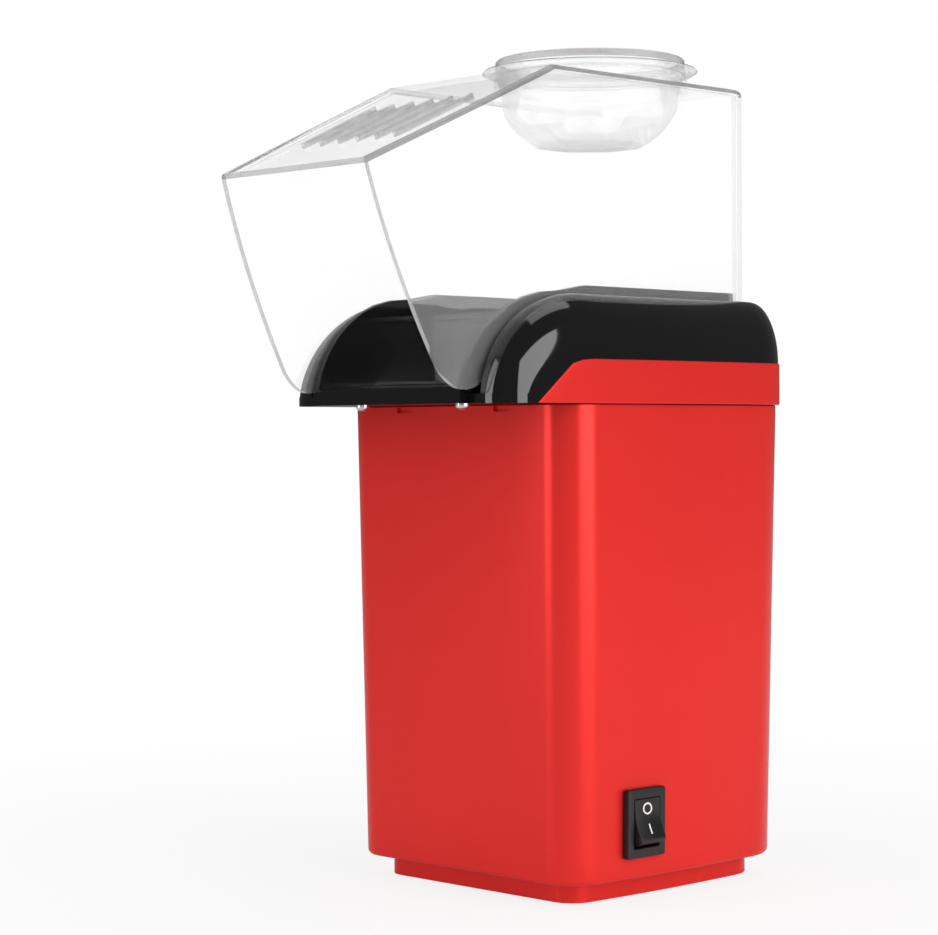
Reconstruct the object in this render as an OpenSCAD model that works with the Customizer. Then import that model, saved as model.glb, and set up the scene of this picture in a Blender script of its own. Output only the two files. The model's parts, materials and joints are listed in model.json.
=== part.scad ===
// Hot-air popcorn maker: red drafted body on a stepped base, black upper housing with a
// spout, clear lift-off cover with a measuring cup in its top, and the fan, motor, heater,
// switch and wiring that the body holds.
// Millimetres. The origin is the centre of the base on the table, +Z is up, and the spout
// opens towards -Y. The switch is on the +X side.

/* [Body] */
// Width of the body at its top
body_w = 104; // [101:0.5:116]
// Depth of the body at its top
body_d = 108; // [106:0.5:120]
// Height of the body shell, from its step to its top edge
body_h = 146.4; // [143:0.5:175]
// How much each side leans in towards the bottom
draft = 2; // [0.5:0.1:3]
// How far each side bows out at its middle
bow = 1.2; // [0.2:0.1:2]
// Radius of the front corners
front_r = 12; // [9:0.5:16]
// Radius of the back corners
back_r = 19; // [15:0.5:22]
// Thickness of the body's wall
body_wall = 2.4; // [1.8:0.1:3]

/* [Base] */
// Height of the base below the body
base_h = 6.5; // [5.5:0.1:9]
// How far the base stands in from the body
base_inset = 7.2; // [5:0.1:8]
// Radius of the base's front corners
base_front_r = 8; // [5:0.5:12]
// Radius of the base's back corners
base_back_r = 13; // [8:0.5:18]
// Height of the rubber feet below the base
feet_h = 0.8; // [0.6:0.1:2]
// Diameter of a rubber foot
feet_d = 9; // [7:0.5:10]
// Thickness of the base's floor and wall
base_wall = 2.2; // [1.6:0.1:2.8]

/* [Red collar] */
// Height of the collar above the body
collar_h = 13.4; // [10:0.2:16]
// How far the collar stands out from the body
collar_out = 1.4; // [0.8:0.1:2]
// Thickness of the collar
collar_t = 1.6; // [1.5:0.1:1.7]

/* [Upper housing] */
// Height of the housing's rounded shoulder above the collar
shoulder_h = 20.5; // [16:0.5:26]
// Distance of the cover's well from the body's sides
well_in = 13.6; // [12:0.1:13.7]
// Thickness of the housing's walls
housing_wall = 2.8; // [2.5:0.1:3]
// How far the spout's sides stand in from the body's sides
spout_in = 1.5; // [1:0.5:4]
// How far the spout reaches out in front of the body
spout_out = 25; // [20:0.5:34]
// Corner radius of the spout
spout_r = 9; // [6:0.5:11]
// Length of the spout's arched side, front to top
arch_l = 40; // [34:0.5:46]
// Height of the spout's front lip
lip_h = 4.9; // [4:0.1:7]

/* [Popping chamber] */
// Thickness of the chamber's sheet
chamber_t = 1; // [0.6:0.1:1.2]
// Depth of the chamber
chamber_depth = 76; // [60:1:80]
// Space for air between the chamber and the outside of the duct
duct_space = 7.2; // [5:0.1:7.5]
// Distance of the duct from the wall behind it, at the body's top
duct_gap = 2.1; // [1.8:0.1:4]
// Thickness of the duct's wall
duct_t = 1.6; // [1:0.1:2]

/* [Fan and motor] */
// Distance of the fan's blades from the outside of the fan housing
fan_gap = 10.5; // [6:0.5:14]
// Height of the fan's blades
blade_h = 10; // [7:0.5:12]
// Number of fan blades
blade_n = 12; // [8:1:16]
// Radius of the motor
motor_r = 14; // [12:0.5:15]
// Length of the motor
motor_h = 32; // [26:0.5:36]
// Diameter of the motor shaft
shaft_d = 3.2; // [2.4:0.1:4]

/* [Switch] */
// Width of the switch's bezel
switch_w = 17; // [15:0.5:18]
// Height of the switch's bezel
switch_h = 21.3; // [19:0.1:24]
// Thickness of the switch's bezel
bezel_t = 2; // [1.5:0.1:2.5]
// Height of the switch's middle above the table
switch_z = 24.8; // [24:0.1:40]
// Distance of the switch's middle from the body's front
switch_in = 31.5; // [30:0.5:50]
// Tilt of the rocker to each side
rocker_tilt = 15; // [8:0.5:16]

/* [Cover] */
// Gap between the cover and the sides of its well
cover_gap = 0.5; // [0.4:0.1:1.5]
// How much each side of the cover draws in towards the mouth
mouth_in = 4.4; // [2:0.1:6]
// Thickness of the cover's wall
cover_t = 1.8; // [1.4:0.1:2]
// Height of the cover's flat top above the body's top edge
cover_top = 103.6; // [92:0.2:120]
// Distance of the cover's back from the body's back
cover_in = 3.8; // [3.6:0.1:6]
// How far the cover's front edge reaches out in front of the spout
cover_out = 40; // [28:0.5:50]
// Distance of the cover's ridge from the body's front
ridge_in = 7.8; // [0:0.1:14]
// Drop of the cover's sloping top from its ridge to its front
slope_drop = 33.1; // [24:0.1:40]
// Corner radius of the cover's back
cover_r = 13; // [8:0.5:16]
// Number of vent slots in the sloping top
slot_n = 6; // [2:1:8]
// Width of a vent slot
slot_w = 1.8; // [1.2:0.1:2.4]
// Distance between vent slots
slot_pitch = 8.95; // [6:0.05:9]

/* [Measuring cup] */
// Distance of the cup's rim from the cover's sides
cup_side = 2.4; // [1:0.1:6]
// Width of the cup's flat rim outside its bowl
cup_flange = 6.1; // [5:0.1:9]
// Depth of the cup's bowl below the cover's top
cup_depth = 18; // [14:0.2:26]
// Thickness of the cup's wall
cup_t = 1.6; // [1.2:0.1:2]
// Distance of the cup's rim from the cover's back
cup_back = 5; // [3:0.5:12]
// Number of flat sides round the cup's bowl
cup_sides = 8; // [6:1:12]

/* [Hidden] */

curve_n = 64;
round_n = 32;
fine_n = 24;
cut = 60;
over = 1;
gap = 0.3;
seat = 0.1;
run_fit = 0.05;

step_z = feet_h + base_h;
seam_z = step_z + body_h;
collar_top = seam_z + collar_h;
rim_z = collar_top + shoulder_h;
lip_z = seam_z + lip_h;
arch_b = rim_z - seam_z;
spout_front = body_d / 2 + spout_out;
spout_half = body_w / 2 - spout_in;
arch_y = spout_front - arch_l;
well_half = body_w / 2 - well_in;
cover_half = well_half - cover_gap;
cover_back = body_d / 2 - cover_in;
cover_front = spout_front + cover_out;
ridge_y = body_d / 2 - ridge_in;
switch_y = body_d / 2 - switch_in;
collar_half = body_w / 2 + collar_out;
collar_back = body_d / 2 + collar_out;
bottom_d = body_d - 2 * draft;
draft_angle = atan(draft / body_h);

deck_t = 2.4;
deck_drop = 6;
deck_z = rim_z - deck_drop;
gasket_t = 0.6;
flange_w = 3.2;
flange_gap = 0.9;
chamber_r = well_half - flange_gap - flange_w - chamber_t;
duct_r = chamber_r + chamber_t + duct_space;
chamber_y = body_d / 2 - body_wall - duct_gap - duct_r;
skirt_h = 12;
flange_z = deck_z + gasket_t;
liner_z = flange_z + chamber_t + seat;
liner_t = 2;
chamber_top_r = chamber_r + chamber_t;
chamber_z = deck_z - chamber_depth;
duct_top = deck_z - deck_t - seat;
duct_z = chamber_z - skirt_h;
fan_box_h = 24;
fan_box_z = duct_z - fan_box_h;
fan_floor = 2;
fan_r = duct_r - fan_gap;
motor_top = fan_box_z;
motor_z = motor_top - motor_h;
hub_r = 5;
disc_t = 1.6;
fan_lift = 3.4;
fan_z = fan_box_z + fan_floor + fan_lift;
nut_h = 2;
hub_top = fan_z + disc_t + blade_h;
shaft_top = hub_top + nut_h + over;
ear_r = duct_r + 3;
ear_pad = 3.6;
ear_t = 3;
ear_angles = [45, 135, 225, 315];
screw_r = 1.4;
screw_hole = 1.5;
head_r = 2.7;
head_h = 1.8;

function arc_points(x, y, r, from, n) =
    [for (i = [0 : n]) [x + r * cos(from + 90 * i / n), y + r * sin(from + 90 * i / n)]];

// Rounded outline with bowed sides, as points.
function bowed(w, d, fr, br, b) =
    concat(
        arc_points(w / 2 - fr, -d / 2 + fr, fr, -90, 8),
        [for (t = [0.25, 0.5, 0.75])
            [w / 2 + b * 4 * t * (1 - t), -d / 2 + fr + t * (d - fr - br)]],
        arc_points(w / 2 - br, d / 2 - br, br, 0, 8),
        arc_points(-w / 2 + br, d / 2 - br, br, 90, 8),
        [for (t = [0.75, 0.5, 0.25])
            [-w / 2 - b * 4 * t * (1 - t), -d / 2 + fr + t * (d - fr - br)]],
        arc_points(-w / 2 + fr, -d / 2 + fr, fr, 180, 8));

// Plan of the body, inset by e, with its sides leaning in by the amount given.
module body_outline(e, lean = 0) {
    in = e + lean;
    polygon(bowed(body_w - 2 * in, body_d - 2 * in, front_r - e, back_r - e + lean / 2, bow));
}

function lean_at(z) = draft * (seam_z - z) / body_h;

module body_block(e, z0, z1) {
    sheet = 0.01;
    hull() {
        translate([0, 0, z0]) linear_extrude(sheet) body_outline(e, lean_at(z0));
        translate([0, 0, z1 - sheet]) linear_extrude(sheet) body_outline(e, lean_at(z1));
    }
}

module at_corners(x, front_y, back_y) {
    for (side = [-1, 1]) {
        translate([side * x, -front_y, 0]) children();
        translate([side * x, back_y, 0]) children();
    }
}

module post(r, z0, z1) {
    translate([0, 0, z0]) cylinder(r = r, h = z1 - z0, $fn = round_n);
}

module tube(r_out, r_in, z0, z1) {
    translate([0, 0, z0]) difference() {
        cylinder(r = r_out, h = z1 - z0, $fn = curve_n);
        translate([0, 0, -cut]) cylinder(r = r_in, h = z1 - z0 + 2 * cut, $fn = curve_n);
    }
}

// Point at radius r and angle a round the chamber's axis.
function round_duct(r, a, z) = [r * cos(a), chamber_y + r * sin(a), z];

// Puts its children round the chamber's axis, one at each angle.
module round_chamber(angles, r = 0) {
    for (a = angles) translate([0, chamber_y, 0]) rotate([0, 0, a]) translate([r, 0, 0]) children();
}

module both_ends(x) {
    for (side = [-1, 1]) translate([side * x, 0, 0]) children();
}

// Block whose side view is given as [y, z] points, wide enough to cross the part.
module side_prism(points) {
    translate([-body_w, 0, 0]) rotate([90, 0, 90]) linear_extrude(2 * body_w) polygon(points);
}

module screw(z_head, length) {
    post(head_r, z_head, z_head + head_h);
    post(screw_r, z_head + head_h, z_head + head_h + length);
}

wire_r = 1;
joint_swell = 1.12;

// Round wire along straight runs, with a ball at each turn.
module wire(points) {
    for (i = [0 : len(points) - 2]) {
        run = points[i + 1] - points[i];
        length = norm(run);
        translate(points[i])
            rotate([0, acos(run.z / length), atan2(run.y, run.x)])
                cylinder(r = wire_r, h = length, $fn = fine_n);
        translate(points[i]) sphere(r = wire_r * joint_swell, $fn = fine_n);
    }
}

// ---- Body ----

base_screw_x = body_w / 2 - 19;
base_screw_y = body_d / 2 - 18;
flange_t = 2.4;
flange_in = 5;
boss_r = 4;
boss_h = 12;
lug_x = body_w / 2 - 8.5;
lug_front = body_d / 2 - 8.5;
lug_back = body_d / 2 - 12;
lug_z = seam_z - 8;
lug_r = 8;
lug_t = 4;
latch_x = body_w / 2 - 30;
latch_w = 7;
latch_h = 2.2;
gland_x = body_w / 2 - 28;
gland_z = 20;
gland_r = 5.2;
cord_r = 3.3;
switch_bow = 0.86 * bow;
switch_x = body_w / 2 + switch_bow - lean_at(switch_z);
bezel_lap = 2;
switch_cut_w = switch_w - bezel_lap;
switch_cut_h = switch_h - bezel_lap;

module at_switch() {
    translate([switch_x, -switch_y, switch_z])
        rotate([0, 90 + draft_angle, 0]) children();
}

module body_shell() {
    color([0.80, 0.05, 0.05]) difference() {
        union() {
            difference() {
                body_block(0, step_z, seam_z);
                body_block(body_wall, step_z + flange_t, seam_z + over);
            }
            at_corners(base_screw_x, base_screw_y, base_screw_y)
                post(boss_r, step_z + over, step_z + boss_h);
            intersection() {
                at_corners(lug_x, lug_front, lug_back) post(lug_r, lug_z, lug_z + lug_t);
                body_block(body_wall / 2, step_z, seam_z);
            }
        }
        translate([0, 0, step_z - over]) linear_extrude(flange_t + 2 * over)
            square([2 * (base_screw_x - flange_in), 2 * (base_screw_y - flange_in)], center = true);
        at_corners(base_screw_x, base_screw_y, base_screw_y)
            post(screw_hole, step_z - over, step_z + boss_h - base_wall);
        at_corners(lug_x, lug_front, lug_back)
            post(screw_hole, lug_z - over, lug_z + lug_t + over);
        at_switch() translate([0, 0, -switch_h / 2])
            linear_extrude(switch_h) square([switch_cut_h, switch_cut_w], center = true);
        translate([gland_x, 0, gland_z]) rotate([-90, 0, 0])
            cylinder(r = gland_r, h = body_d, $fn = round_n);
        both_ends(latch_x) translate([-latch_w / 2, -body_d, seam_z - latch_h])
            cube([latch_w, body_d / 2 + body_wall / 2, latch_h + over]);
    }
}

vent_l = 24;
vent_w = 3;
vent_pitch = 7;
vent_rows = 3;
head_z = feet_h + 2.6;

// Plan of the base, inset by e.
module base_outline(e) {
    in = base_inset + draft + e;
    polygon(bowed(body_w - 2 * in, body_d - 2 * in, base_front_r - e, base_back_r - e, bow));
}

module base_plate() {
    color([0.72, 0.05, 0.05]) difference() {
        union() {
            difference() {
                translate([0, 0, feet_h]) linear_extrude(base_h) base_outline(0);
                translate([0, 0, feet_h + base_wall]) linear_extrude(base_h)
                    base_outline(base_wall);
            }
            at_corners(base_screw_x, base_screw_y, base_screw_y)
                post(boss_r, feet_h + over, step_z);
        }
        at_corners(base_screw_x, base_screw_y, base_screw_y) {
            post(screw_hole + seat, 0, step_z + over);
            post(head_r + gap, 0, head_z);
        }
        both_ends(body_w / 2 - 37) for (k = [-vent_rows : vent_rows])
            translate([-vent_l / 2, k * vent_pitch - vent_w / 2, 0])
                cube([vent_l, vent_w, feet_h + base_wall + over]);
        at_corners(foot_x, foot_front, foot_back)
            post(feet_d / 2 + seat, 0, feet_h + foot_seat);
    }
}

foot_x = body_w / 2 - 18;
foot_front = body_d / 2 - 30;
foot_back = body_d / 2 - 32;
foot_seat = 1;

module rubber_feet() {
    color([0.08, 0.08, 0.08]) at_corners(foot_x, foot_front, foot_back)
        post(feet_d / 2, 0, feet_h + foot_seat);
}

module base_screws() {
    color([0.72, 0.72, 0.74]) at_corners(base_screw_x, base_screw_y, base_screw_y)
        screw(head_z - head_h, 9);
}

// ---- Collar and upper housing ----

slant_l = 13.8;
slant_h = 11.9;
slant_start = 2.8;
collar_fit = 0.15;
edge_in = 0.3;

// Plan of the collar: the body's outline, and sides that run on under the spout.
module collar_outline(e) {
    side_y = body_d / 2 - front_r;
    tip_half = spout_half + edge_in - e;
    body_outline(e - collar_out);
    polygon([[tip_half, spout_r - spout_front], [collar_half - e, -side_y],
        [e - collar_half, -side_y], [-tip_half, spout_r - spout_front]]);
}

module collar_ring(e_out, e_in, z0, z1) {
    translate([0, 0, z0]) linear_extrude(z1 - z0) difference() {
        collar_outline(e_out);
        collar_outline(e_in);
        translate([-spout_half / 2, -spout_front]) square([spout_half, spout_front]);
    }
}

// Region in front of the collar's slanted ends, as a prism across the part.
module collar_front(e) {
    tip = spout_r + slant_start - spout_front;
    knee = tip + slant_l;
    bend = slant_l * 0.3;
    side_prism([[-2 * spout_front, seam_z - cut], [tip - e, seam_z - cut], [tip - e, seam_z],
        [knee - e, seam_z + slant_h], [knee + bend - e, collar_top - edge_in],
        [knee + 2 * bend - e, collar_top + e], [knee + 2 * bend, collar_top + cut],
        [-2 * spout_front, collar_top + cut]]);
}

module collar_trim() {
    color([0.82, 0.06, 0.05]) difference() {
        collar_ring(0, collar_t, seam_z, collar_top);
        collar_front(0);
    }
}

top_in = 1.6;

// Outer form of the housing, inset by e: a shoulder of elliptic section that follows the
// top edge and then the arched side of the spout.
function both_sides(points) = concat(points, [for (p = points) [-p.x, p.y, p.z]]);

function at_height(outline, z) = [for (p = outline) [p.x, p.y, z]];

function shoulder_points(e, s) =
    let (
        top_half = well_half + top_in - e * 0.4,
        top_back = well_back + top_in - edge_in - e,
        low_back = collar_back - edge_in - e,
        half = top_half + (collar_half - edge_in - e - top_half) * sin(s),
        back = top_back + (low_back - top_back) * sin(s),
        r = cover_r + top_in + (back_r - cover_r) * sin(s) - e / 2,
        z = collar_top + (shoulder_h - e) * cos(s))
    concat(
        [for (t = [0 : 0.25 : 0.75])
            [half + bow * 4 * t * (1 - t) * sin(s), -arch_y + t * (arch_y + back - r), z]],
        at_height(arc_points(half - r, back - r, r, 0, 6), z));

function arch_points(e, s) =
    let (
        low = seam_z + e,
        top_half = well_half + top_in - e * 0.4,
        half = top_half + (spout_half - e - top_half) * sin(s),
        a = arch_l - e - spout_r * (1 - cos(s)),
        b = arch_b - e - shoulder_h * (1 - cos(s)))
    [for (t = [0 : 10 : 90]) [half, -arch_y - a * cos(t), max(seam_z + b * sin(t), low)]];

function housing_points(e) = let (foot = collar_out - edge_in - e) concat(
    at_height(bowed(body_w + 2 * foot, body_d + 2 * foot, front_r + foot, back_r + foot, bow),
        seam_z + e),
    both_sides([for (s = [0 : 15 : 90]) each shoulder_points(e, s)]),
    both_sides([for (s = [0 : 15 : 90]) each arch_points(e, s)]));

module housing_form(e) {
    points = housing_points(e);
    hull() polyhedron(points = points, faces = [[for (i = [0 : len(points) - 1]) i]]);
}

well_back = cover_back + 2 * cover_gap;
well_r = cover_r + cover_gap + edge_in;
ramp_t = 2;
ramp_top = liner_z + liner_t;
ramp_flat = 0.33;
ramp_run = 0.6;
ramp_fall = 0.05;
lip_t = 5;
spout_screw_x = spout_half - 27.8;
spout_screw_y = spout_front - 8;

// Side view of the slide from the chamber down to the lip, as [y, z] points.
function ramp_line(lift) = [for (t = [0 : 0.0625 : 1])
    let (x = max(0, min(1, (t - ramp_flat) / ramp_run)))
    [-spout_front + (spout_front - chamber_r + chamber_y - ramp_t) * t,
        lip_z + lift + (ramp_top - lip_z) * (ramp_fall * t * (1 - x) + x * x * (3 - 2 * x))]];

function well_points(e) =
    let (half = well_half - e, r = well_r - e, back = well_back - e)
    concat([[half, -spout_front]], arc_points(half - r, back - r, r, 0, 12),
        arc_points(-half + r, back - r, r, 90, 12), [[-half, -spout_front]]);

module well_outline(e) {
    polygon(well_points(e));
}

module above_ramp(lift) {
    intersection() {
        side_prism(concat([[-2 * spout_front, lip_z + lift]], ramp_line(lift),
            [[well_back, ramp_top + lift], [well_back, rim_z + cut],
            [-2 * spout_front, rim_z + cut]]));
        translate([-well_half, -body_d, 0]) cube([2 * well_half, 2 * body_d, rim_z + cut]);
    }
}

// Plan of everything behind the line y.
module behind(y) {
    translate([-body_w, y]) square(2 * body_w);
}

module housing_shell() {
    difference() {
        union() {
            difference() {
                housing_form(0);
                housing_form(housing_wall);
            }
            intersection() {
                housing_form(housing_wall / 2);
                union() {
                    translate([0, 0, deck_z - deck_t]) linear_extrude(cut)
                        well_outline(-housing_wall);
                    both_ends(well_half + housing_wall / 2)
                        translate([-housing_wall / 2, -spout_front, seam_z])
                            cube([housing_wall, spout_front - bottom_d / 2 - over, cut]);
                    translate([-well_half, -spout_front, seam_z])
                        cube([2 * well_half, lip_t, cut]);
                }
            }
        }
        translate([0, 0, seam_z - over]) linear_extrude(housing_wall + 2 * over)
            intersection() {
                body_outline(body_wall + 2 * seat);
                behind(body_wall + edge_in - bottom_d / 2);
            }
    }
}

module upper_housing() {
    color([0.05, 0.05, 0.055]) difference() {
        union() {
            housing_shell();
            intersection() {
                union() {
                    housing_form(housing_wall / 2);
                    linear_extrude(seam_z + lip_h) behind(-body_d);
                }
                at_corners(lug_x, lug_front, lug_back) post(ear_pad, lug_z + lug_t, rim_z);
            }
        }
        translate([0, 0, deck_z]) linear_extrude(cut) intersection() {
            well_outline(0);
            behind(-arch_y);
        }
        above_ramp(-ramp_t);
        round_chamber([0]) post(chamber_top_r + 2 * gap, seam_z - over, rim_z);
        round_chamber([0]) post(chamber_top_r + flange_w + gap, deck_z, rim_z);
        difference() {
            collar_ring(-collar_t, collar_t + collar_fit, seam_z - over, collar_top + collar_fit);
            collar_front(collar_fit);
        }
        at_corners(lug_x, lug_front, lug_back) post(screw_hole, 0, collar_top);
        both_ends(spout_screw_x) translate([0, -spout_screw_y, 0]) post(screw_hole, 0, lip_z);
        ear_holes();
    }
}

rim_t = 2;
rim_rise = 3;
rim_in = cover_t + 1.2;
lip_out = 3.4;

// Side view of the wall inside the cover: it rises in an arch from the lip to the rim.
module rim_side() {
    mid = -arch_y - rim_rise;
    front = -spout_front - lip_out;
    side_prism(concat([[front, seam_z]],
        [for (t = [10 : 10 : 90]) [max(front, mid - (arch_l + over) * cos(t)),
            seam_z - rim_rise + (rim_z - seam_z + rim_rise + over) * sin(t)]],
        [[mid + 4 * rim_rise, rim_z + rim_rise], [cover_back, rim_z + rim_rise],
            [cover_back, seam_z]]));
}

module chute_liner() {
    front = -spout_front - lip_out;
    color([0.06, 0.06, 0.065]) difference() {
        union() {
            translate([0, 0, liner_z]) linear_extrude(liner_t) difference() {
                well_outline(2 * seat);
                translate([-body_w, -body_d + low_front]) square([2 * body_w, body_d]);
            }
            intersection() {
                translate([0, 0, seam_z]) linear_extrude(cut) difference() {
                    cover_outline(rim_in);
                    difference() {
                        cover_outline(rim_in + rim_t);
                        translate([-body_w, front - body_d]) square([2 * body_w, body_d]);
                    }
                }
                above_ramp(seat - ramp_t);
                rim_side();
            }
            intersection() {
                union() {
                    difference() {
                        above_ramp(seat - ramp_t);
                        above_ramp(0);
                    }
                    translate([-body_w, front, seam_z])
                        cube([2 * body_w, lip_out - seat, lip_h]);
                }
                translate([0, 0, seam_z]) linear_extrude(cut) cover_outline(rim_in);
                translate([-body_w, front, 0])
                    cube([2 * body_w, chamber_y - chamber_r - front, rim_z]);
            }
        }
        round_chamber([0]) post(chamber_r + 2 * seat, seam_z - over, rim_z + cut);
        both_ends(spout_screw_x) translate([0, -spout_screw_y, 0])
            post(screw_hole, 0, lip_z - over + 2 * seat);
    }
}

module housing_screws() {
    color([0.72, 0.72, 0.74]) at_corners(lug_x, lug_front, lug_back)
        screw(lug_z - head_h, 11);
}

module spout_screws() {
    tip_head_r = 2.2;
    color([0.8, 0.8, 0.82]) both_ends(spout_screw_x) translate([0, -spout_screw_y, 0]) {
        post(tip_head_r, seam_z - head_h + seat, seam_z);
        post(screw_r, seam_z, lip_z - over);
    }
}

// ---- Popping chamber, duct and fan ----

louvre_n = 20;
louvre_h = 16;
louvre_t = 1.4;
louvre_l = 7;
louvre_z = 5;
louvre_turn = 60;

module popping_chamber() {
    color([0.78, 0.78, 0.80]) difference() {
        round_chamber([0]) {
            tube(chamber_top_r, chamber_r, chamber_z, flange_z + chamber_t);
            tube(chamber_top_r + flange_w, chamber_r, flange_z, flange_z + chamber_t);
            post(chamber_r + chamber_t / 2, chamber_z, chamber_z + chamber_t);
        }
        round_chamber([for (i = [0 : louvre_n - 1]) i * 360 / louvre_n], chamber_r)
            rotate([0, 0, louvre_turn])
                translate([-louvre_l / 2, -louvre_t / 2, chamber_z + louvre_z])
                    cube([louvre_l, louvre_t, louvre_h]);
    }
}

module chamber_gasket() {
    color([0.85, 0.83, 0.76]) round_chamber([0])
        tube(chamber_top_r + flange_w, chamber_top_r + 3 * gap, deck_z, flange_z);
}

module ears(z) {
    round_chamber(ear_angles, ear_r) post(ear_pad, z, z + ear_t);
}

module ear_holes() {
    round_chamber(ear_angles, ear_r) post(screw_hole, 0, rim_z);
}

// The duct's wall from z0 to z1, with ears for its screws at the heights given.
module eared_tube(z0, z1, ear_heights) {
    difference() {
        union() {
            round_chamber([0]) tube(duct_r, duct_r - duct_t, z0, z1);
            difference() {
                for (z = ear_heights) ears(z);
                round_chamber([0]) post(duct_r - duct_t / 2, z0 - over, z1 + over);
            }
        }
        ear_holes();
    }
}

module air_duct() {
    color([0.86, 0.86, 0.84]) eared_tube(duct_z, duct_top, [duct_z, duct_top - ear_t]);
}

motor_screw_x = motor_r - 5.5;

module fan_housing() {
    inlet_out = fan_r - 4;
    inlet_in = motor_r - 2;
    inlet_angle = 74;
    color([0.15, 0.15, 0.16]) {
        eared_tube(fan_box_z, duct_z, [duct_z - ear_t]);
        difference() {
            round_chamber([0]) post(duct_r - duct_t / 2, fan_box_z, fan_box_z + fan_floor);
            round_chamber([0, 90, 180, 270]) translate([0, 0, fan_box_z - over])
                rotate_extrude(angle = inlet_angle, $fn = curve_n) translate([inlet_in, 0])
                    square([inlet_out - inlet_in, fan_floor + 2 * over]);
            round_chamber([0]) post(hub_r + 2 * seat, 0, fan_box_z + fan_floor + over);
            round_chamber([0, 180], motor_screw_x)
                post(screw_hole, 0, fan_box_z + fan_floor + over);
        }
    }
}

module duct_screws() {
    spare = 0.4;
    color([0.7, 0.7, 0.72]) round_chamber(ear_angles, ear_r) {
        screw(duct_z - ear_t - head_h, 2 * ear_t - spare);
        screw(duct_top - ear_t - head_h, ear_t + deck_t - spare);
    }
}

coil_n = 4;
coil_r = 1;
coil_in = 10;
coil_out = duct_r - duct_t - 8.9;
mica_h = 8;
mica_t = 0.8;

// Rings of round wire, one for each turn of the heater.
module coil_rings(r) {
    round_chamber([0]) translate([0, 0, duct_z + mica_h]) for (i = [0 : coil_n - 1])
        rotate_extrude($fn = curve_n)
            translate([coil_in + (coil_out - coil_in) * i / (coil_n - 1), 0])
                circle(r = r, $fn = fine_n);
}

module heater_coil() {
    color([0.55, 0.5, 0.46]) coil_rings(coil_r);
}

module mica_frame() {
    half = duct_r - duct_t - gap;
    color([0.80, 0.74, 0.60]) difference() {
        round_chamber([0, 90]) translate([-half, -mica_t / 2, duct_z])
            cube([2 * half, mica_t, mica_h]);
        coil_rings(coil_r + seat);
    }
}

press_fit = 0.02;
shaft_in = 14;

module fan_impeller() {
    blade_t = 1.2;
    blade_in = hub_r - 1.6;
    blade_l = sqrt(fan_r * fan_r - pow(blade_in + blade_t, 2)) - seat;
    color([0.2, 0.2, 0.21]) difference() {
        union() {
            round_chamber([0]) {
                post(fan_r, fan_z, fan_z + disc_t);
                post(hub_r, fan_z, hub_top);
            }
            round_chamber([for (i = [0 : blade_n - 1]) i * 360 / blade_n])
                translate([0, blade_in, fan_z + disc_t / 2])
                    cube([blade_l, blade_t, blade_h + disc_t / 2]);
        }
        round_chamber([0]) post(shaft_d / 2 + press_fit, fan_z - over, hub_top + over);
    }
}

module fan_nut() {
    color([0.75, 0.7, 0.5]) round_chamber([0]) difference() {
        translate([0, 0, hub_top + run_fit]) cylinder(r = shaft_d, h = nut_h, $fn = 6);
        post(shaft_d / 2 + press_fit, hub_top, shaft_top + over);
    }
}

module motor_shaft() {
    color([0.8, 0.8, 0.82]) round_chamber([0])
        post(shaft_d / 2, motor_top - shaft_in, shaft_top);
}

module motor_can() {
    nose_h = 1.6;
    color([0.62, 0.62, 0.64]) difference() {
        round_chamber([0]) {
            post(motor_r, motor_z, motor_top);
            post(hub_r, motor_top - over, motor_top + nose_h);
        }
        round_chamber([0])
            post(shaft_d / 2 + run_fit, motor_top - shaft_in - 2 * seat, motor_top + nose_h + over);
        round_chamber([0, 180], motor_screw_x)
            post(screw_hole, motor_top - motor_screw_l - over, motor_top + over);
    }
}

motor_screw_l = 4;

module motor_screws() {
    seat_z = fan_box_z + fan_floor;
    color([0.7, 0.7, 0.72]) round_chamber([0, 180], motor_screw_x) {
        post(head_r - gap, seat_z, seat_z + head_h - seat);
        post(screw_r, motor_top - motor_screw_l, seat_z);
    }
}

board_t = 1.2;
diode_r = 1.25;
diode_l = 8;
diode_x = motor_r - 6.5;
diode_z = motor_z - board_t - diode_r + seat / 2;

module rectifier_board() {
    color([0.16, 0.35, 0.2]) {
        round_chamber([0]) post(motor_r - over, motor_z - board_t, motor_z);
        for (k = [-1, -1 / 3, 1 / 3, 1])
            translate([k * diode_x, chamber_y - diode_l / 2, diode_z]) rotate([-90, 0, 0])
                cylinder(r = diode_r, h = diode_l, $fn = fine_n);
    }
}

probe_z = chamber_z + 20;
probe_turn = 225;
probe_l = 28;
probe_w = 8;
probe_t = 1.2;
tab_x = 4;
tab_l = 8;
tab_t = 0.8;
tab_out = 1;

// Thermostat on the duct: a plate with two holes, a round can and two tabs.
module thermostat() {
    can_r = 7;
    can_h = 5;
    color([0.7, 0.68, 0.62]) round_chamber([probe_turn], duct_r) translate([0, 0, probe_z])
        rotate([90, 0, 90]) {
            difference() {
                translate([-probe_l / 2, -probe_w / 2, seat]) cube([probe_l, probe_w, probe_t]);
                both_ends(probe_l * 3 / 8) translate([0, 0, -over])
                    cylinder(r = probe_w / 5, h = probe_t + 3 * over, $fn = fine_n);
            }
            translate([0, 0, tab_out]) cylinder(r = can_r, h = can_h, $fn = round_n);
            both_ends(tab_x) translate([-tab_t / 2, -probe_w / 4, tab_out])
                cube([tab_t, probe_w / 2, tab_l]);
        }
}

fuse_turn = 315;
fuse_out = 2.2;
fuse_r = 2;
fuse_l = 11;
lead_r = 0.6;
lead_l = 6;
fuse_z = probe_z - 10;

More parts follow.
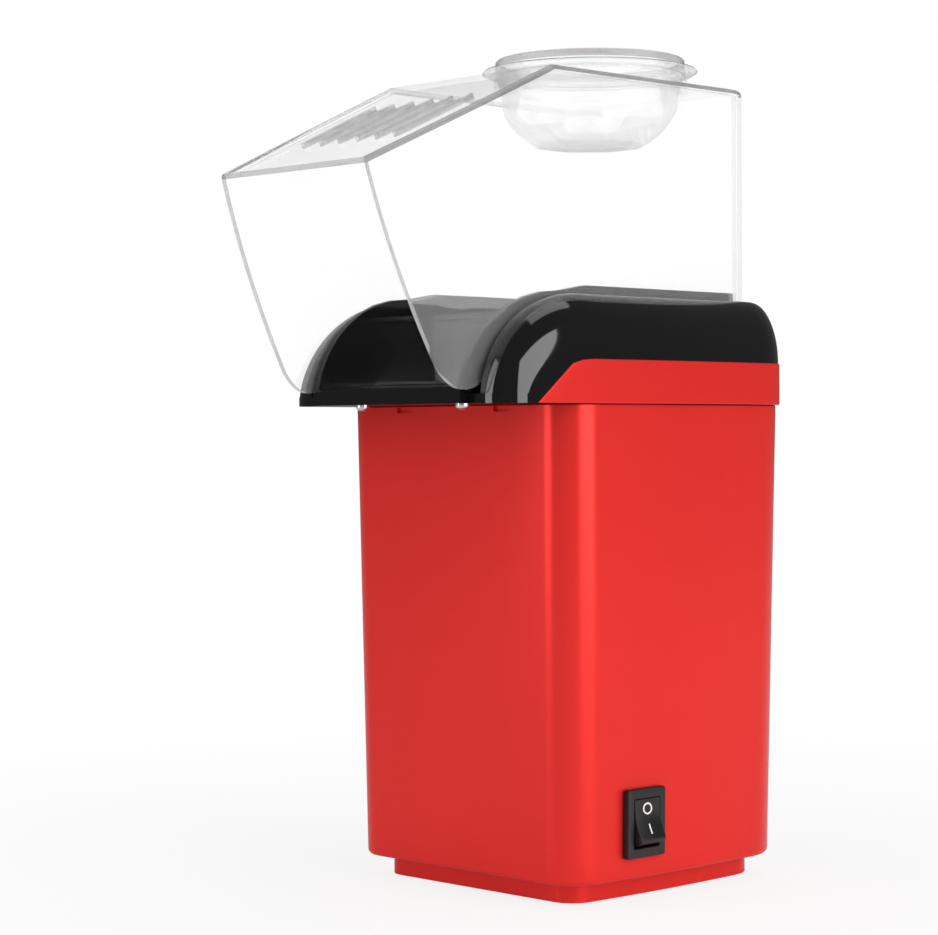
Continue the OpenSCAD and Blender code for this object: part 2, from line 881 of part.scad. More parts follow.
module thermal_fuse() {
    color([0.8, 0.75, 0.6]) round_chamber([fuse_turn], duct_r + fuse_out) {
        translate([0, 0, fuse_z]) cylinder(r = fuse_r, h = fuse_l, $fn = fine_n);
        translate([0, 0, fuse_z - lead_l])
            cylinder(r = lead_r, h = fuse_l + 2 * lead_l, $fn = fine_n);
    }
}

// ---- Switch, gland and wires ----

rocker_w = switch_w - 5.9;
rocker_h = switch_h - 6.15;
rocker_depth = 6;
pin_r = 1.2;
pin_z = 0.4;
pin_l = 0.8;
frame_l = 16;
terminal_l = 8;

module switch_frame() {
    bezel_r = 0.8;
    fit = 0.4;
    color([0.03, 0.03, 0.03]) at_switch() difference() {
        union() {
            translate([0, 0, seat]) linear_extrude(bezel_t)
                offset(r = bezel_r, $fn = round_n) offset(delta = -bezel_r)
                    square([switch_h, switch_w], center = true);
            translate([0, 0, -frame_l]) linear_extrude(frame_l + over)
                square([switch_cut_h - fit, switch_cut_w - fit], center = true);
        }
        translate([0, 0, -rocker_depth - over]) linear_extrude(rocker_depth + bezel_t + 2 * over)
            square([rocker_h + 2 * run_fit, rocker_w + 2 * gap], center = true);
        translate([0, -rocker_w / 2 - pin_l - gap / 2, pin_z]) rotate([-90, 0, 0])
            cylinder(r = pin_r + run_fit, h = rocker_w + 2 * pin_l + gap, $fn = fine_n);
    }
}

// Rocker with its O end pressed in: two flats that meet over the pin, with ends rounded about
// the pin, and a keel below.
module switch_rocker() {
    end_r = rocker_h / 2;
    half = end_r * 0.89;
    keel = end_r * 0.53;
    keel_z = -2.6;
    face = bezel_t + seat / 2 - pin_z;
    high = asin((face + half * tan(rocker_tilt)) / end_r);
    low = -10;
    end = [for (k = [0 : 4]) let (a = high + (low - high) * k / 4) [end_r * cos(a), end_r * sin(a)]];
    color([0.04, 0.04, 0.04]) at_switch() translate([0, 0, pin_z])
        rotate([0, -rocker_tilt, 0]) {
            rotate([90, 0, 0]) translate([0, 0, -rocker_w / 2]) linear_extrude(rocker_w)
                polygon(concat([[0, face]], end, [[keel, keel_z], [-keel, keel_z]],
                    [for (k = [4 : -1 : 0]) [-end[k].x, end[k].y]]));
            rotate([90, 0, 0]) translate([0, 0, -rocker_w / 2 - pin_l])
                cylinder(r = pin_r, h = rocker_w + 2 * pin_l, $fn = fine_n);
        }
}

terminal_x = 5.5;
terminal_w = 4.8;

module switch_terminals() {
    color([0.8, 0.72, 0.45]) at_switch() for (x = [-terminal_x, 0, terminal_x])
        translate([x - tab_t / 2, -terminal_w / 2, -frame_l - terminal_l])
            cube([tab_t, terminal_w, terminal_l]);
}

module cord_gland() {
    lip = 1.4;
    tail = 3;
    ring_t = 2.2;
    wall_y = body_d / 2 - lean_at(gland_z);
    inner_y = wall_y - body_wall - tail;
    color([0.1, 0.1, 0.1]) translate([gland_x, 0, gland_z]) rotate([-90, 0, 0]) difference() {
        union() {
            translate([0, 0, wall_y + seat]) cylinder(r = gland_r + lip, h = lip, $fn = round_n);
            translate([0, 0, inner_y])
                cylinder(r = gland_r - seat, h = body_wall + tail + over, $fn = round_n);
            translate([0, 0, inner_y]) cylinder(r = gland_r + over, h = ring_t, $fn = round_n);
        }
        cylinder(r = cord_r, h = body_d, $fn = round_n);
    }
}

inside_y = body_d / 2 - 9;
core_x = 1.5;
low_z = step_z + flange_t + 3;
lane_r = duct_r + 4.5;
tap_z = duct_z + 9;
wire_gap = wire_r * joint_swell + seat;

// End of a wire behind the switch, dz above the switch's middle.
function at_terminal(dz) = [switch_x - frame_l - terminal_l - wire_gap, -switch_y, switch_z + dz];

// End of a wire at the thermostat's tab on that side.
function at_tab(side) =
    let (tip = round_duct(duct_r + tab_out + tab_l + wire_gap + seat, probe_turn, probe_z))
    tip + side * tab_x * [-sin(probe_turn), cos(probe_turn), 0];

// Two cores from the cord: to the switch, and up the side to the fuse.
module supply_wires() {
    left = [gland_x - core_x, inside_y, gland_z];
    right = [gland_x + core_x, inside_y, gland_z];
    rise = [0, -core_x, fan_box_z - gland_z - 3 * boss_r];
    plug = at_terminal(-terminal_x);
    color([0.35, 0.2, 0.12]) {
        wire([left, [left.x, left.y - boss_r, low_z], [plug.x - core_x, 0, low_z],
            [plug.x - core_x, plug.y, low_z], plug]);
        wire([right, right + rise, round_duct(lane_r, 30, fan_box_z),
            round_duct(lane_r, 0, duct_z), round_duct(lane_r, -25, duct_z + skirt_h),
            round_duct(duct_r + fuse_out, fuse_turn, fuse_z - lead_l - wire_gap)]);
    }
}

// From the switch to the thermostat, and from there to the heater.
module heater_wires() {
    plug = at_terminal(terminal_x);
    out = at_tab(-1);
    front_y = (chamber_y - duct_r - body_d / 2 + body_wall) / 2;
    color([0.85, 0.85, 0.82]) {
        wire([plug, [plug.x - boss_r, front_y, motor_z], [0, front_y, chamber_z], at_tab(1)]);
        wire([out, out + [0, 0, -skirt_h], round_duct(duct_r + wire_gap, probe_turn - 15, tap_z)]);
    }
}

// From the rectifier board up the left side to the heater's tap.
module motor_wires() {
    start_x = -diode_x - diode_r - wire_gap;
    color([0.75, 0.1, 0.1]) for (side = [-1, 1])
        wire([[start_x, chamber_y + side * diode_l / 3, diode_z],
            [start_x - motor_r, chamber_y + side * diode_l, diode_z],
            round_duct(lane_r, 180 - side * 15, fan_box_z - boss_r),
            round_duct(lane_r, 180 - side * 15, duct_z),
            round_duct(duct_r + wire_gap, 180 - side * 15, tap_z)]);
}

// ---- Cover and cup ----

cover_z = seam_z + cover_top;
cover_low = liner_z + liner_t + seat;
mouth_half = cover_half - mouth_in;
low_front = 4 - arch_y;

// Plan of the cover: parallel sides that draw in over the spout, and rounded back corners.
function draw_in(y, half) =
    y > -ridge_y ? half
    : half - (cover_half - mouth_half) * pow((-ridge_y - y) / (cover_front - ridge_y), 1.5);

function side_line(e, side) = [for (t = [0 : 0.125 : 1])
    let (y = -ridge_y + (ridge_y - cover_front - 4) * t)
    [side * draw_in(max(y, -cover_front), cover_half - e), y]];

module cover_outline(e) {
    r = cover_r - e;
    half = cover_half - e;
    union() {
        polygon(concat(
            [for (p = side_line(e, 1)) p],
            [for (i = [len(side_line(e, -1)) - 1 : -1 : 0]) side_line(e, -1)[i]]));
        translate([-half, -ridge_y]) square([2 * half, ridge_y + cover_back - e - r]);
        for (side = [-1, 1]) translate([side * (half - r), cover_back - e - r])
            circle(r = r, $fn = curve_n);
        translate([-half + r, -ridge_y]) square([2 * (half - r), ridge_y + cover_back - e]);
    }
}

function bezier(a, b, c, t) = a * (1 - t) * (1 - t) + b * 2 * t * (1 - t) + c * t * t;

// Side view of the cover as [y, z] points: mouth edge, rounded tongue, slanted lower edge.
function cover_side(e) =
    let (
        top_front = [-cover_front, cover_z - slope_drop - e],
        chin = [-spout_front - 14, lip_z + 5.2],
        belly = [-cover_front + 8.5, (top_front.y + chin.y) / 2 + 1],
        tongue = [-spout_front - 6, lip_z - 5],
        heel = [-spout_front + 3, lip_z + 1.8])
    concat(
        [for (t = [0 : 0.125 : 1]) bezier(top_front, belly, chin, t)],
        [for (t = [0.25 : 0.25 : 1]) bezier(chin, tongue, heel, t)],
        [[low_front, cover_low], [cover_back + over, cover_low],
            [cover_back + over, cover_z - e], [-ridge_y, cover_z - e]]);

cup_rim_r = cover_half - cup_side;
cup_r = cup_rim_r - cup_flange;
cup_y = cover_back - cup_back - cup_rim_r;
cup_fit = 0.6;
cup_lift = 5;
neck_t = 2.4;

// Space inside the cover, open at the mouth and below.
module cover_inside() {
    run = cover_front - ridge_y;
    low_z = cover_z - 2 * slope_drop - cover_t;
    intersection() {
        translate([0, 0, seam_z - cut]) linear_extrude(4 * cut) {
            cover_outline(cover_t);
            translate([-mouth_half + cover_t, -2 * cover_front])
                square([2 * (mouth_half - cover_t), cover_front + over]);
        }
        side_prism([[-2 * cover_front, low_z], [-cover_front - run, low_z],
            [-ridge_y, cover_z - cover_t], [cover_back + over, cover_z - cover_t],
            [cover_back + over, -cut], [-2 * cover_front, -cut]]);
    }
}

module vent_slots() {
    length = 34;
    drop = slope_drop / (cover_front - ridge_y);
    mid_y = (cover_front + ridge_y) / 2 - 2;
    for (i = [0 : slot_n - 1])
        translate([(i - (slot_n - 1) / 2) * slot_pitch, -mid_y, cover_z - drop * (mid_y - ridge_y)])
            rotate([atan(drop), 0, 0]) cube([slot_w, length, 4 * cover_t], center = true);
}

module clear_cover() {
    neck_z = cover_z + cup_lift;
    hole_r = cup_r + cup_fit;
    color([0.85, 0.9, 0.95, 0.35]) difference() {
        union() {
            difference() {
                intersection() {
                    translate([0, 0, seam_z]) linear_extrude(2 * cut) cover_outline(0);
                    side_prism(cover_side(0));
                }
                cover_inside();
            }
            translate([0, cup_y, 0]) tube(hole_r + neck_t, hole_r, cover_z - over, neck_z);
        }
        translate([0, cup_y, 0]) post(hole_r, cover_z - cover_t - over, neck_z + over);
        vent_slots();
    }
}

// Straight-sided frustum whose flats lie r0 from its axis below and r1 above.
module frustum(r0, r1, z0, z1) {
    corner = 1 / cos(180 / cup_sides);
    translate([0, 0, z0]) rotate([0, 0, 180 / cup_sides])
        cylinder(r1 = r0 * corner, r2 = r1 * corner, h = z1 - z0, $fn = cup_sides);
}

// Bowl of the cup, drawn in by e: flat sides that run out in a round neck.
module cup_bowl(e, top) {
    bottom = cover_z - cup_depth + e;
    knee_r = cup_r * 0.83 - e;
    knee_z = cover_z - cup_depth * 0.67;
    brim_r = cup_r + over - e;
    brim_z = cover_z - cup_depth * 0.3;
    frustum(cup_r * 0.58 - e / 2, knee_r, bottom, knee_z);
    rotate([0, 0, 90 / cup_sides]) {
        intersection() {
            post(cup_r - cup_fit - e, knee_z - seat, brim_z);
            rotate([0, 0, -90 / cup_sides]) frustum(knee_r, brim_r, knee_z, brim_z);
        }
        post(cup_r - cup_fit - e, brim_z - seat, top);
    }
}

// Cup: a bowl with flat sides, a flat rim with a turned-down edge, and a raised lip.
module measuring_cup() {
    flange_low = cover_z + cup_lift + seat;
    flange_top = flange_low + cup_t;
    skirt = 0.6;
    edge_r = cup_rim_r - cup_t;
    lip_r = cup_r + 1.9;
    lip_top = flange_low + 5;
    neck_r = cup_r - cup_fit;
    color([0.85, 0.9, 0.95, 0.35]) translate([0, cup_y, 0]) difference() {
        union() {
            cup_bowl(0, flange_low + over);
            rotate_extrude($fn = curve_n)
                polygon([[0, flange_low], [edge_r, flange_low], [edge_r, flange_low - skirt],
                    [cup_rim_r, flange_low - skirt], [cup_rim_r, flange_top],
                    [lip_r, flange_top + cup_t / 2], [lip_r - cup_t / 4, lip_top], [0, lip_top]]);
        }
        cup_bowl(cup_t, flange_top);
        translate([0, 0, flange_low - seat]) cylinder(r1 = neck_r - cup_t - seat,
            r2 = lip_r - cup_t, h = lip_top - flange_low + 2 * seat, $fn = curve_n);
    }
}

body_shell();
base_plate();
rubber_feet();
base_screws();
collar_trim();
upper_housing();
chute_liner();
housing_screws();
spout_screws();
popping_chamber();
chamber_gasket();
air_duct();
fan_housing();
duct_screws();
heater_coil();
mica_frame();
fan_impeller();
fan_nut();
motor_shaft();
motor_can();
motor_screws();
rectifier_board();
thermostat();
thermal_fuse();
switch_frame();
switch_rocker();
switch_terminals();
cord_gland();
supply_wires();
heater_wires();
motor_wires();
clear_cover();
measuring_cup();
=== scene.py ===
"""Hot-air popcorn maker: the visual model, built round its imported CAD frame.

Sizes are in metres. +Z is up, the spout opens towards -Y and the switch is on the +X side.
"""

import json
import math

import bmesh
import bpy
from mathutils import Matrix, Vector


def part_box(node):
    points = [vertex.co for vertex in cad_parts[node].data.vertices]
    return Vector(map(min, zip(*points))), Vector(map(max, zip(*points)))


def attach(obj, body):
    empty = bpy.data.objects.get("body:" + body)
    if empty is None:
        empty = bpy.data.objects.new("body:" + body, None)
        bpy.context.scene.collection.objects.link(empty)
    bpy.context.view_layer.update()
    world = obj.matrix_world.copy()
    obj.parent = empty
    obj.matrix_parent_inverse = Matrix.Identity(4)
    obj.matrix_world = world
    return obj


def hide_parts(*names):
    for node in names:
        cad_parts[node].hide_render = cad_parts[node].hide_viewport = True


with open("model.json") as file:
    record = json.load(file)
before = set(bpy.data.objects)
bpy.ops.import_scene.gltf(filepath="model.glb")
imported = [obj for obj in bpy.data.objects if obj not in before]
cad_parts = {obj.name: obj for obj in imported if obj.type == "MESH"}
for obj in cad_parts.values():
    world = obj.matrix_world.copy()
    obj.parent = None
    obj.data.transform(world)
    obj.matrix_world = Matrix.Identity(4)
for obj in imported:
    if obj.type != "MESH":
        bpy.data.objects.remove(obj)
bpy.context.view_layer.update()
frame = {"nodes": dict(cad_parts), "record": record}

bl_info = {
    "name": "Popcorn Maker",
    "version": (1, 0, 0),
    "blender": (4, 5, 0),
    "location": "View3D > Sidebar > Popcorn",
    "description": "Builds the shell, cover, switch and inner parts of a hot-air popcorn maker",
    "category": "Object",
}

MM = 0.001

# Heights of the machine's main parts above the table, in millimetres.
STEP_Z = 7.3  # underside of the body
SEAM_Z = 153.7  # top of the body, where the collar and the housing start
LIP_Z = 158.6  # top of the lip under the spout
COLLAR_TOP = 167.1
DECK_Z = 181.6  # deck round the popping chamber
LINER_TOP = 185.3  # ledge that the cover stands on
RIM_Z = 187.6  # top of the upper housing
COVER_TOP = 257.3

# Their plan, in millimetres.
BODY_HALF_W, BODY_HALF_D = 52.0, 54.0
BOW = 1.2  # how far the sides bow out
ARCH_Y = -39.0  # where the cheeks' arches start
CHAMBER_Y = 8.0
CUP_Y = 9.7
WELL_HALF, WELL_BACK = 38.4, 51.2  # inner faces of the upper housing
TOP_HALF = 40.0

# The switch: its place in the right side, and the lean of that side in degrees.
SWITCH_X, SWITCH_Y, SWITCH_Z = 51.27107, -22.5, 24.8
SWITCH_LEAN = 0.78268


# ---- Small helpers ----


def span(a, b, n):
    """n + 1 even steps from a to b."""
    return [a + (b - a) * i / n for i in range(n + 1)]


def arc(cx, cy, r, a0, a1, n):
    """Points of an arc in a plane, angles in degrees."""
    return [(cx + r * math.cos(math.radians(a)), cy + r * math.sin(math.radians(a)))
            for a in span(a0, a1, n)]


def bezier(a, b, c, n):
    """Points of the curve from a to c that bends towards b."""
    return [tuple(p * (1 - t) ** 2 + q * 2 * t * (1 - t) + r * t * t for p, q, r in zip(a, b, c))
            for t in span(0, 1, n)]


def mirrored(half):
    """Closes a plan's right half, counter-clockwise, with its mirror image."""
    return half + [(-x, y) for x, y in reversed(half)]


def at_z(outline, z):
    """Lifts a plan to a height."""
    return [(x, y, z) for x, y in outline]


def verts_of(geom):
    """The vertices in a bmesh operator's result."""
    return [v for v in geom if isinstance(v, bmesh.types.BMVert)]


def geometry(faces):
    """Faces with their edges and vertices."""
    return (faces + list({e for f in faces for e in f.edges})
            + list({v for f in faces for v in f.verts}))


def pushed(bm, faces, vec):
    """Extrudes faces along a vector."""
    made = bmesh.ops.extrude_face_region(bm, geom=faces)["geom"]
    bmesh.ops.translate(bm, vec=vec, verts=verts_of(made))


def outward(bm):
    """The mesh with its normals turned outwards."""
    bmesh.ops.recalc_face_normals(bm, faces=bm.faces)
    return bm


def loft(rings, loop=False, caps=True):
    """Extrudes the first ring of points from ring to ring, then caps or joins the ends."""
    bm = bmesh.new()
    ring = [bm.verts.new(p) for p in rings[0]]
    first = edges = [bm.edges.new((ring[i], ring[(i + 1) % len(ring)]))
                     for i in range(len(ring))]
    start = ring
    for points in rings[1:]:
        made = bmesh.ops.extrude_edge_only(bm, edges=edges)["geom"]
        fresh = set(verts_of(made))
        edges = [e for e in made if isinstance(e, bmesh.types.BMEdge)]
        ring = [next(e.other_vert(v) for e in v.link_edges if e.other_vert(v) in fresh)
                for v in ring]
        for v, p in zip(ring, points):
            v.co = p
    if loop:
        bmesh.ops.bridge_loops(bm, edges=first + edges)
    elif caps:
        bm.faces.new(start)
        bm.faces.new(ring)
    bmesh.ops.remove_doubles(bm, verts=bm.verts, dist=0.002)
    return outward(bm)


def plate(outline, z0, z1, holes=()):
    """Flat plate of that plan, with round holes given as (x, y, r)."""
    bm = bmesh.new()
    verts = [bm.verts.new((x, y, z0)) for x, y in outline]
    edges = [bm.edges.new((verts[i - 1], verts[i])) for i in range(len(verts))]
    for x, y, r in holes:
        ring = bmesh.ops.create_circle(bm, segments=72, radius=r,
                                       matrix=Matrix.Translation((x, y, z0)))["verts"]
        edges += list({e for v in ring for e in v.link_edges})
    faces = bmesh.ops.triangle_fill(bm, edges=edges, use_beauty=True)["geom"]
    pushed(bm, [f for f in faces if isinstance(f, bmesh.types.BMFace)], (0, 0, z1 - z0))
    bmesh.ops.dissolve_limit(bm, angle_limit=0.002, verts=bm.verts, edges=bm.edges)
    return outward(bm)


def prism(points, vec):
    """Block made by extruding a flat outline along a vector."""
    bm = bmesh.new()
    face = bm.faces.new([bm.verts.new(p) for p in points])
    pushed(bm, [face], vec)
    return outward(bm)


def box(size, centre):
    """Block of that size round a centre."""
    bm = bmesh.new()
    bmesh.ops.create_cube(bm, size=1.0)
    bmesh.ops.scale(bm, vec=size, verts=bm.verts)
    bmesh.ops.translate(bm, vec=centre, verts=bm.verts)
    return bm


def turned(profile, steps, centre=(0.0, 0.0)):
    """Turns a profile of (r, z) points round an upright axis."""
    bm = bmesh.new()
    verts = [bm.verts.new((r, 0, z)) for r, z in profile]
    edges = [bm.edges.new((verts[i], verts[i + 1])) for i in range(len(verts) - 1)]
    bmesh.ops.spin(bm, geom=verts + edges, cent=(0, 0, 0), axis=(0, 0, 1),
                   angle=2 * math.pi, steps=steps, use_merge=True, use_duplicate=False)
    bmesh.ops.remove_doubles(bm, verts=bm.verts, dist=0.003)
    bmesh.ops.translate(bm, vec=(*centre, 0), verts=bm.verts)
    return outward(bm)


def joined(*parts):
    """Puts several meshes in one."""
    whole = bmesh.new()
    for part in parts:
        mesh = bpy.data.meshes.new("part")
        part.to_mesh(mesh)
        part.free()
        whole.from_mesh(mesh)
        bpy.data.meshes.remove(mesh)
    return whole


def rounded(bm, edges, width, segments, clamp=True):
    """Bevels edges and returns the new faces."""
    return bmesh.ops.bevel(bm, geom=edges, offset=width, offset_type="OFFSET", affect="EDGES",
                           segments=segments, profile=0.5, material=-1,
                           clamp_overlap=clamp)["faces"]


def cad_copy(node):
    """Merged copy of a frame node's mesh, in millimetres."""
    bm = bmesh.new()
    bm.from_mesh(frame["nodes"][node].data)
    bmesh.ops.scale(bm, vec=(1 / MM,) * 3, verts=bm.verts)
    bmesh.ops.remove_doubles(bm, verts=bm.verts, dist=0.004)
    bmesh.ops.dissolve_limit(bm, angle_limit=math.radians(0.4), verts=bm.verts, edges=bm.edges)
    return bm


def piece(name, bm, body, slot, replaces=(), material=None, bevel=0.0, smooth=32.0):
    """Turns a mesh in millimetres into a finished piece in metres."""
    bmesh.ops.scale(bm, vec=(MM,) * 3, verts=bm.verts)
    mesh = bpy.data.meshes.new(name)
    bm.to_mesh(mesh)
    bm.free()
    obj = bpy.data.objects.new(name, mesh)
    bpy.context.scene.collection.objects.link(obj)
    mesh.materials.append(finish(material or slot))
    mesh.shade_smooth()
    if bevel:
        mod = obj.modifiers.new("Rounded edges", "BEVEL")
        mod.width = bevel * MM
        mod.segments = 2
        mod.limit_method = "ANGLE"
        mod.angle_limit = math.radians(smooth)
        obj.modifiers.new("Even shading", "WEIGHTED_NORMAL")
    else:
        mesh.set_sharp_from_angle(angle=math.radians(smooth))
    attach(obj, body)
    if replaces:
        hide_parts(*replaces)
    return obj


# ---- Materials ----


class Value:
    """A node socket that takes part in Python expressions."""

    def __init__(self, tree, socket):
        self.tree = tree
        self.socket = socket

    def math(self, operation, *others, clamp=False):
        """Result of a Math node on this value and others."""
        return self.tree.add("ShaderNodeMath", {"operation": operation, "use_clamp": clamp},
                             dict(enumerate((self, *others))))

    def __add__(self, other):
        return self.math("ADD", other)

    def __sub__(self, other):
        return self.math("SUBTRACT", other)

    def __rsub__(self, other):
        return self.tree.add("ShaderNodeMath", {"operation": "SUBTRACT"}, {0: other, 1: self})

    def __mul__(self, other):
        return self.math("MULTIPLY", other)

    __radd__, __rmul__ = __add__, __mul__

    def clamped(self):
        return self.math("ADD", 0.0, clamp=True)


class Nodes:
    """Node tree whose nodes are added by one method."""

    def __init__(self, tree):
        self.tree = tree

    def add(self, kind, settings=None, sockets=None, output=0):
        """Adds a node with its settings, then its sockets, and returns one output."""
        node = self.tree.nodes.new(kind)
        for key, value in (settings or {}).items():
            setattr(node, key, value)
        for key, value in (sockets or {}).items():
            if isinstance(value, Value):
                self.tree.links.new(value.socket, node.inputs[key])
            else:
                node.inputs[key].default_value = value
        return Value(self, node.outputs[output])

    def blend(self, factor, first, second):
        """Mix Shader of two shaders."""
        return self.add("ShaderNodeMixShader", {}, {0: factor, 1: first, 2: second})

    def seen(self):
        """1 for rays from the camera, also through clear plastic, and 0 for others."""
        camera, clear, depth = (self.add("ShaderNodeLightPath", output=name) for name in (
            "Is Camera Ray", "Is Transmission Ray", "Transmission Depth"))
        return camera.math("MAXIMUM", clear).math("MAXIMUM", depth.clamped())


class Shader(Nodes):
    """Material built round one Principled BSDF."""

    def __init__(self, name, **constants):
        self.material = bpy.data.materials.new(name)
        self.material.use_nodes = True
        super().__init__(self.material.node_tree)
        self.principled = self.tree.nodes["Principled BSDF"]
        for key, value in constants.items():
            self.principled.inputs[key.replace("_", " ")].default_value = value

    def noise(self, scale, detail, stretch=(1, 1, 1), roughness=0.5):
        """Noise on stretched object coordinates."""
        where = self.add("ShaderNodeTexCoord", output="Object")
        place = self.add("ShaderNodeMapping", {}, {"Vector": where, "Scale": stretch})
        return self.add("ShaderNodeTexNoise", {}, {
            "Vector": place, "Scale": scale, "Detail": detail, "Roughness": roughness})

    def range(self, value, low, high, start=0.0, end=1.0):
        """Takes the value's stretch from start to end to low to high."""
        return self.add("ShaderNodeMapRange", {"clamp": True}, {
            "Value": value, "From Min": start, "From Max": end, "To Min": low, "To Max": high})

    def mix(self, factor, a, b):
        """Colour between a and b."""
        return self.add("ShaderNodeMix", {"data_type": "RGBA"}, {
            0: factor, 6: (*a, 1), 7: (*b, 1)}, 2)

    def set(self, **links):
        """Links values to the shader's sockets."""
        for key, value in links.items():
            self.tree.links.new(value.socket, self.principled.inputs[key.replace("_", " ")])

    def bump(self, height, strength, distance):
        """Raises the surface by a height."""
        self.set(Normal=self.add("ShaderNodeBump", {}, {
            "Height": height, "Strength": strength, "Distance": distance}))


def moulded(name, color, variation, roughness, coat=0.0, waviness=0.05, grain=0.0, **constants):
    """Moulded plastic: faint flow marks in its colour, a fine skin and a slight waviness."""
    shader = Shader(name, Coat_Weight=coat, Coat_Roughness=0.06, IOR=1.5, **constants)
    flow = shader.noise(22.0, 4.0, (1, 1, 0.45))
    dust = shader.noise(900.0, 2.0)
    shade = tuple(c * (1 - variation) for c in color)
    rough = shader.range(flow, roughness * 0.85, roughness * 1.15)
    rough += (dust - 0.5) * (grain * roughness)
    shader.set(Base_Color=shader.mix(flow, color, shade), Roughness=rough)
    height = shader.noise(70.0, 1.0) * waviness + dust * grain
    shader.bump(height, 0.35, 0.0006)
    return shader.material


def metal(name, color, roughness, stretch=(1, 1, 1), scale=240.0):
    """Sheet or turned metal with drawn streaks."""
    shader = Shader(name, Metallic=1.0)
    streaks = shader.noise(scale, 5.0, stretch, 0.62)
    stain = shader.noise(30.0, 3.0)
    dark = tuple(c * 0.82 for c in color)
    shader.set(Base_Color=shader.mix(shader.range(stain, 0, 1, 0.35, 0.75), color, dark),
               Roughness=shader.range(streaks, roughness * 0.75, roughness * 1.3))
    shader.bump(streaks, 0.12, 0.0002)
    return shader.material


def clear_plastic(name, tint, alpha, ior, haze, roughness=0.012):
    """Clear moulded plastic that bends the light, with a slight haze and faint flow lines."""
    shader = Shader(name, Transmission_Weight=1 - haze, IOR=ior, Roughness=roughness, Alpha=alpha)
    flow = shader.noise(14.0, 2.0, (1, 1, 0.6))
    shader.set(Base_Color=shader.mix(flow, tint, tuple(min(1.0, c * 1.01) for c in tint)))
    shader.bump(flow, 0.01, 0.0005)
    return shader.material


def fibre(name, color, dark):
    """Pressed fibre or braid with fine crossing threads."""
    shader = Shader(name, Roughness=0.85)
    threads = shader.noise(900.0, 4.0, (1, 1, 3), 0.7)
    shader.set(Base_Color=shader.mix(shader.range(threads, 0, 1, 0.3, 0.7), dark, color))
    shader.bump(threads, 0.5, 0.0002)
    return shader.material


def layered(name, color, dark, bands):
    """Mica or board: cloudy layers with glints."""
    shader = Shader(name, Coat_Weight=0.2)
    cloud = shader.noise(120.0, 6.0, (1, 1, bands), 0.6)
    shader.set(Base_Color=shader.mix(shader.range(cloud, 0, 1, 0.3, 0.7), dark, color),
               Roughness=shader.range(cloud, 0.35, 0.65))
    shader.bump(cloud, 0.2, 0.0002)
    return shader.material


# ---- Settings ----


def color(name, about, default):
    return bpy.props.FloatVectorProperty(
        name=name, description=about, subtype="COLOR", size=3, min=0, max=1, default=default)


def length(name, about, default, low, high):
    return bpy.props.FloatProperty(
        name=name, description=about, unit="LENGTH", default=default * MM, min=low * MM,
        max=high * MM)


class FinishSettings(bpy.types.PropertyGroup):
    """Colours of the plastics, and the painted shade along the clear plastic's edges."""

    red: color("Red", "Colour of the body, base and collar", (0.80, 0.032, 0.027))
    black: color("Black", "Colour of the upper housing and chute", (0.005, 0.005, 0.0055))
    clear: color("Clear", "Tint of the cover and the measuring cup", (0.985, 0.985, 0.99))
    # Painted shade: this dark grey on the clear plastic's edges stands in for the dark lines that
    # bent light draws along them.
    edge: color("Clear edge shade", "Tint of the clear plastic along its edges", (0.27, 0.25, 0.26))


class ShellSettings(bpy.types.PropertyGroup):
    """Sizes of the body's details."""

    wall: length("Wall", "Thickness of the body's wall", 2.4, 1, 4)
    foot_round: length("Lower edge", "Rounding of the body's lower edge", 1.6, 0.3, 4)
    cover_wall: length("Cover wall", "Thickness of the clear cover", 1.8, 1, 3)
    slots: bpy.props.IntProperty(
        name="Vent slots", description="Slots in the cover's sloping top",
        default=6, min=2, max=8)
    cup_facets: bpy.props.IntProperty(
        name="Cup facets", description="Flats round the bowl of the measuring cup",
        default=8, min=6, max=12)


class StageSettings(bpy.types.PropertyGroup):
    """Lamps and camera."""

    key_power: bpy.props.FloatProperty(
        name="Key lamp", description="Power of the large soft lamp", subtype="POWER",
        default=11.0, min=0, max=100)
    lens: bpy.props.FloatProperty(
        name="Lens", description="Focal length of the camera", subtype="DISTANCE_CAMERA",
        default=98.3586, min=20, max=300)


MATERIALS = {}


def finish(name):
    """A material made by the finishes operator."""
    return MATERIALS[name]


